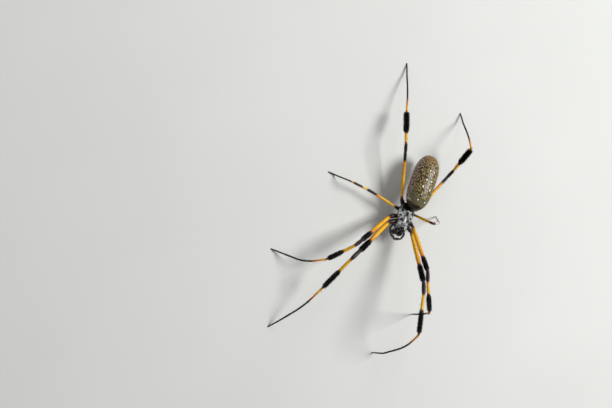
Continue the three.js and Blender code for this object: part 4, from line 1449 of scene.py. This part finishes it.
@dataclass
class Jaw:
    """A chelicera with its fang, a row of small teeth and its hair."""

    side: Side
    top: tuple[float, float, float] = (1.08, -6.5, 7.5)
    knee: tuple[float, float, float] = (1.08, -7.55, 6.4)
    bottom: tuple[float, float, float] = (0.98, -7.35, 4.0)
    half_width: float = 0.9
    half_depth: float = 0.97
    front_swell: float = 0.04        # how much fuller the jaw is in front
    bulge: tuple[tuple[float, float], ...] = ((0, 0.85), (0.3, 1), (0.6, 0.98), (0.9, 0.72), (1, 0.5))
    fang_root: tuple[float, float, float] = (0.9, -7.3, 3.85)
    fang_bend: tuple[float, float, float] = (0.7, -6.9, 3.25)
    fang_tip: tuple[float, float, float] = (0.3, -6.05, 3.75)
    fang_radius: float = 0.26

    def mirrored(self, point: tuple[float, float, float]) -> np.ndarray:
        """A point of the left jaw on this jaw's side."""
        return np.array(point) * np.array([self.side.value, 1, 1])

    def skin(self) -> Skin:
        """The jaw's stout basal part."""
        top, knee, bottom = (self.mirrored(p) for p in (self.top, self.knee, self.bottom))
        path = Path.through(corners_rounded([top, knee, bottom], [0, 1.2, 0]), up=(0, -1, 0.2))
        s = np.linspace(0, path.length, 60)
        u = s / path.length
        size = np.average([table(list(self.bulge), u + d) for d in (-0.06, 0, 0.06)], axis=0)
        size = size * np.where(u > 0.94, np.sqrt(np.maximum(0.05, 1 - ((u - 0.94) / 0.062) ** 2)), 1)
        angle = around_angles(40)
        front = 1 + self.front_swell * np.cos(angle)
        wide, deep = ((size * half)[:, None] * front for half in (self.half_width, self.half_depth))
        rings = tube(path, s, wide, deep, len(angle))
        inner = soft_step(0.2, 0.9, -self.side.value * np.sin(angle))
        return Skin(f"chelicera_{self.side.word}_skin", rings, {
            "hair_cover": 0.5 + 0.5 * soft_step(0.6, 0.85, u)[:, None] * (0.4 + 0.6 * inner),
            "hair_length": (0.4 + 0.3 * soft_step(0.6, 0.95, u))[:, None] * np.ones_like(angle),
        })

    def fang(self) -> Skin:
        """The curved fang."""
        root, bend, tip = (self.mirrored(p) for p in (self.fang_root, self.fang_bend, self.fang_tip))
        t = np.linspace(0, 1, 60)[:, None]
        path = Path.through((1 - t) ** 2 * root + 2 * t * (1 - t) * bend + t * t * tip, up=(0, -1, 0))
        s = np.linspace(0, path.length, 34)
        radius = self.fang_radius * (1 - 0.9 * (s / path.length) ** 1.2)
        return Skin(f"fang_{self.side.word}_skin", tube(path, s, radius * 0.9, radius, 18))

    def teeth(self, material: object) -> object:
        """Three small teeth along the fang's groove."""
        start = self.mirrored((0.55, -6.75, 4.15))
        teeth = []
        for i, size in enumerate((1.0, 0.85, 0.7)):
            root = start + np.array([0, 0.12, 0.26]) * i
            line = np.linspace(root, root + np.array([-0.12 * self.side.value, 0.3, -0.12]) * size, 12)
            path = Path.through(line)
            s = np.linspace(0, path.length, 7)
            radius = 0.11 * size * (1 - 0.85 * s / path.length)
            teeth.append(Skin("tooth", tube(path, s, radius, radius, 10)))
        return joined(f"chelicera_{self.side.word}_teeth", teeth, material)

    def build(self, looks: "Looks") -> None:
        """Builds the jaw's pieces."""
        skin = finish_piece(self.skin().build(looks.jaw), (f"chelicera_{self.side.word}",))
        finish_piece(self.fang().build(looks.fang), (f"fang_{self.side.word}",))
        finish_piece(self.teeth(looks.fang))
        hair = Coat("hair", per_mm2=16.0, thickness=0.045, lift=32, root_lift=50,
                    sway=20, seed=12 + self.side.value)
        hair.grow(skin, f"chelicera_{self.side.word}_hair", looks.bristle, "jaws")


@dataclass
class Palp:
    """A pedipalp: a short feeler of four segments with black hair."""

    side: Side
    root: tuple[float, float, float] = (1.8, -4.9, 4.9)
    lengths: tuple[float, ...] = (2.2, 1.0, 1.75, 2.7)
    radii: tuple[float, ...] = (0.34, 0.36, 0.34, 0.36, 0.3, 0.34, 0.14)
    right: tuple[tuple[float, float], ...] = ((-136, 28), (-84, 10), (-62, 0), (-22, -8))
    left: tuple[tuple[float, float], ...] = ((-52, 26), (-92, 12), (-106, -6), (-158, -34))
    corner: float = 0.5
    inset: float = 0.03

    def build(self, looks: "Looks") -> None:
        """Builds the palp and its hair."""
        turns = self.left if self.side is Side.LEFT else self.right
        joints = [np.array(self.root) * np.array([self.side.value, 1, 1])]
        for (yaw, pitch), length in zip(turns, self.lengths):
            joints.append(joints[-1] + direction(yaw, pitch) * length)
        path = Path.through(corners_rounded(joints, [self.corner] * len(joints)))
        s = np.linspace(0, path.length, 90)
        u = s / path.length
        radius = table([(i / (len(self.radii) - 1), r) for i, r in enumerate(self.radii)], u) - self.inset
        for mark in np.cumsum(self.lengths)[:-1] / sum(self.lengths):
            radius = radius * (1 - 0.18 * bump_at(mark, 0.018, u))
        end = soft_step(0.6, 0.75, u)
        palp = Skin(f"pedipalp_{self.side.word}_skin", tube(path, s, radius, radius, 20), {
            "hair_cover": 0.35 + 0.65 * end, "hair_length": 0.5 + 0.1 * end,
        })
        skin = finish_piece(palp.build(looks.mouth), (f"pedipalp_{self.side.word}",))
        hair = Coat("hair", per_mm2=60.0, thickness=0.045, lift=36, root_lift=55,
                    sway=22, seed=20 + self.side.value)
        hair.grow(skin, f"pedipalp_{self.side.word}_hair", looks.bristle, "dark_limb")


@dataclass
class Eyes:
    """Eight simple eyes, each a glossy dome in a raised rim."""

    kinds: tuple[str, ...] = ("median_front", "median_rear", "side_front", "side_rear")
    rim: float = 1.28                # radius of the rim over that of the lens
    middle: tuple[float, float, float] = (0.0, -5.15, 7.9)

    def build(self, looks: "Looks") -> None:
        """Builds each eye over its node."""
        for kind in self.kinds:
            for side in Side:
                node = f"eye_{kind}_{side.word}"
                low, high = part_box(node)
                centre = np.array((low + high) / 2) / MM - ORIGIN
                radius = (high.z - low.z) / 2 / MM
                axis = unit(centre - np.array(self.middle))
                path = Path.through(np.linspace(centre - axis * radius, centre + axis * radius, 40))
                s = path.length * (0.5 - 0.5 * np.cos(np.linspace(0.02, 0.98, 26) * math.pi))
                dome = radius * np.sqrt(np.maximum(0, 1 - (2 * s / path.length - 1) ** 2))
                lens = Skin(f"{node}_lens", tube(path, s, dome, dome, 32)).build(looks.lens)
                finish_piece(lens, (node,))
                s = np.linspace(0, path.length * 0.62, 16)
                swell = radius * self.rim * (1 - 0.25 * (s / s[-1]) ** 6)
                collar = Skin(f"{node}_rim", tube(path, s, swell, swell, 32)).build(looks.carapace_dark)
                finish_piece(collar)


@dataclass
class Mouth:
    """The two maxillae and the lip under the head, between jaws and sternum."""

    lobes: tuple[tuple[str, tuple[float, float, float], tuple[float, float, float]], ...] = (
        ("maxilla_left", (0.85, -4.95, 4.85), (0.62, 0.95, 0.5)),
        ("maxilla_right", (-0.85, -4.95, 4.85), (0.62, 0.95, 0.5)),
        ("labium", (0, -4.5, 4.75), (0.5, 0.75, 0.4)),
    )

    def build(self, looks: "Looks") -> None:
        """Builds each lobe."""
        for name, centre, (wide, long, deep) in self.lobes:
            middle = np.array(centre)
            ends = np.array([[0, long, 0.25], [0, -long, -0.1]])
            path = Path.through(np.linspace(*(middle + ends), 40))
            s = path.length * (0.5 - 0.5 * np.cos(np.linspace(0.03, 0.97, 28) * math.pi))
            oval = np.sqrt(np.maximum(0, 1 - np.abs(2 * s / path.length - 1) ** 2.6))
            lobe = Skin(name, tube(path, s, wide * oval, deep * oval, 28), {
                "hair_cover": soft_step(0.5, 0.8, s / path.length), "hair_length": np.full_like(s, 0.35),
            })
            obj = finish_piece(lobe.build(looks.mouth))
            fringe = Coat("hair", per_mm2=34.0, thickness=0.05, lift=40, root_lift=60, seed=40)
            fringe.grow(obj, f"{name}_hair", looks.bristle, "dark_limb")


# Looks and studio

class Looks:
    """Every finish, made once."""

    def __init__(self, abdomen: Abdomen) -> None:
        """Builds the materials."""
        self.cuticle, self.leg_hair = {}, {}
        for (side, pair), pose in POSES.items():
            place = f"{pair}_{side.word}"
            colours = pose.bands or PAIRS[pair].bands
            self.cuticle[side, pair] = BandedCuticle(colours, f"leg_cuticle_{place}").material()
            self.leg_hair[side, pair] = LegHair(colours, f"leg_setae_{place}").material()
        self.bristle = BlackBristle().material()
        self.silver = SilverHair().material()
        self.fine_hair = SilverHair("abdomen_hair", "#7d6a3c", "#3d3018").material()
        self.carapace = CarapaceCuticle().material()
        self.carapace_dark = DarkShell("eye_rim_chitin", "#17140f", "#2b261c", 0.3).material()
        girth = math.pi * (abdomen.half_width + abdomen.half_height)
        self.abdomen = AbdomenCuticle(girth, abdomen.length).material()
        self.jaw = DarkShell("jaw_chitin", "#040507", "#0b1220", 0.24).material()
        self.fang = DarkShell("fang_chitin", "#2a0b07", "#0a0606", 0.16).material()
        self.claw = DarkShell("claw_chitin", "#1a100c", "#0a0706", 0.25).material()
        self.mouth = DarkShell("mouth_chitin", "#0d0706", "#1e0d09", 0.36).material()
        self.spinneret = DarkShell("spinneret_cuticle", "#7a4a1e", "#4a2a12", 0.4).material()
        self.lens = EyeLens().material()
        self.floor = StudioFloor().material()


@dataclass
class Studio:
    """A pale floor, soft lights, and the camera at the photo's angle.

    The photo's view is given by where the animal's left, tail and back point in the picture: the camera's
    right and up directions in the body's axes. The look-at point is the one at the picture's middle.
    """

    right: tuple[float, float, float] = (0.8328, 0.3582, 0.4221)
    up: tuple[float, float, float] = (-0.3579, 0.9301, -0.0831)
    back: tuple[float, float, float] = (-0.4223, -0.0819, 0.9028)
    target: tuple[float, float, float] = (-33.235, 3.003, 8.0)       # along right, up and back, mm
    distance: float = 1000.0         # mm
    picture_width: float = 222.77    # mm across at the target
    sensor: float = 36.0
    floor_half: float = 2.5          # m
    # Each light: name, place in m, size in m and power in W
    lights: tuple[tuple[str, tuple[float, float, float], float, float], ...] = (
        ("key", (0.42, 0.3, 0.6), 0.3, 6.4),
        ("fill", (-0.55, -0.35, 0.6), 0.6, 0.7),
        ("rim", (-0.1, 0.75, 0.5), 0.4, 1.5),
    )
    sky: float = 0.23                # strength of the light from all round

    def camera(self) -> None:
        """Makes the camera."""
        axes = np.array([self.right, self.up, self.back])
        target = np.array(self.target) @ axes + ORIGIN
        place = (target + axes[2] * self.distance) * MM
        data = bpy.data.cameras.new("photo_camera")
        data.sensor_width = self.sensor
        data.lens = self.sensor * self.distance / self.picture_width
        data.clip_start, data.clip_end = 0.01, 10
        camera = bpy.data.objects.new("photo_camera", data)
        bpy.context.collection.objects.link(camera)
        turn = Matrix(axes.T.tolist()).to_4x4()
        camera.matrix_world = Matrix.Translation(Vector(place)) @ turn
        bpy.context.scene.camera = camera

    def floor(self, material: object) -> None:
        """Makes the floor."""
        h = self.floor_half
        mesh = bpy.data.meshes.new("floor")
        mesh.from_pydata([(-h, -h, 0), (h, -h, 0), (h, h, 0), (-h, h, 0)], [], [(0, 1, 2, 3)])
        mesh.materials.append(material)
        floor = bpy.data.objects.new("floor", mesh)
        bpy.context.collection.objects.link(floor)

    def light(self) -> None:
        """Hangs the lights and sets the sky."""
        middle = Vector(((CAD_BOX[0] + CAD_BOX[1]) / 2).to_tuple())
        for name, place, size, power in self.lights:
            data = bpy.data.lights.new(name, "AREA")
            data.size, data.energy = size, power
            lamp = bpy.data.objects.new(name, data)
            lamp.location = place
            lamp.rotation_euler = (middle - Vector(place)).to_track_quat("-Z", "Y").to_euler()
            bpy.context.collection.objects.link(lamp)
        world = bpy.data.worlds.new("studio")
        world.use_nodes = True
        sky = next(n for n in world.node_tree.nodes if n.type == "BACKGROUND")
        sky.inputs["Color"].default_value = linear("#e9edf2")
        sky.inputs["Strength"].default_value = self.sky
        bpy.context.scene.world = world
        bpy.context.scene.view_settings.view_transform = "Standard"


def main() -> None:
    """Builds the spider, then the studio round it."""
    logging.basicConfig(level=logging.INFO, format="%(message)s")
    abdomen = Abdomen()
    looks = Looks(abdomen)
    Cephalothorax().build(looks)
    abdomen.build(looks)
    Spinnerets(abdomen).build(looks)
    Eyes().build(looks)
    Mouth().build(looks)
    for side in Side:
        Jaw(side).build(looks)
        Palp(side).build(looks)
        for pair in PAIRS:
            Leg(pair, side).build(looks)
    studio = Studio()
    studio.floor(looks.floor)
    studio.light()
    studio.camera()


if __name__ == "__main__":
    main()
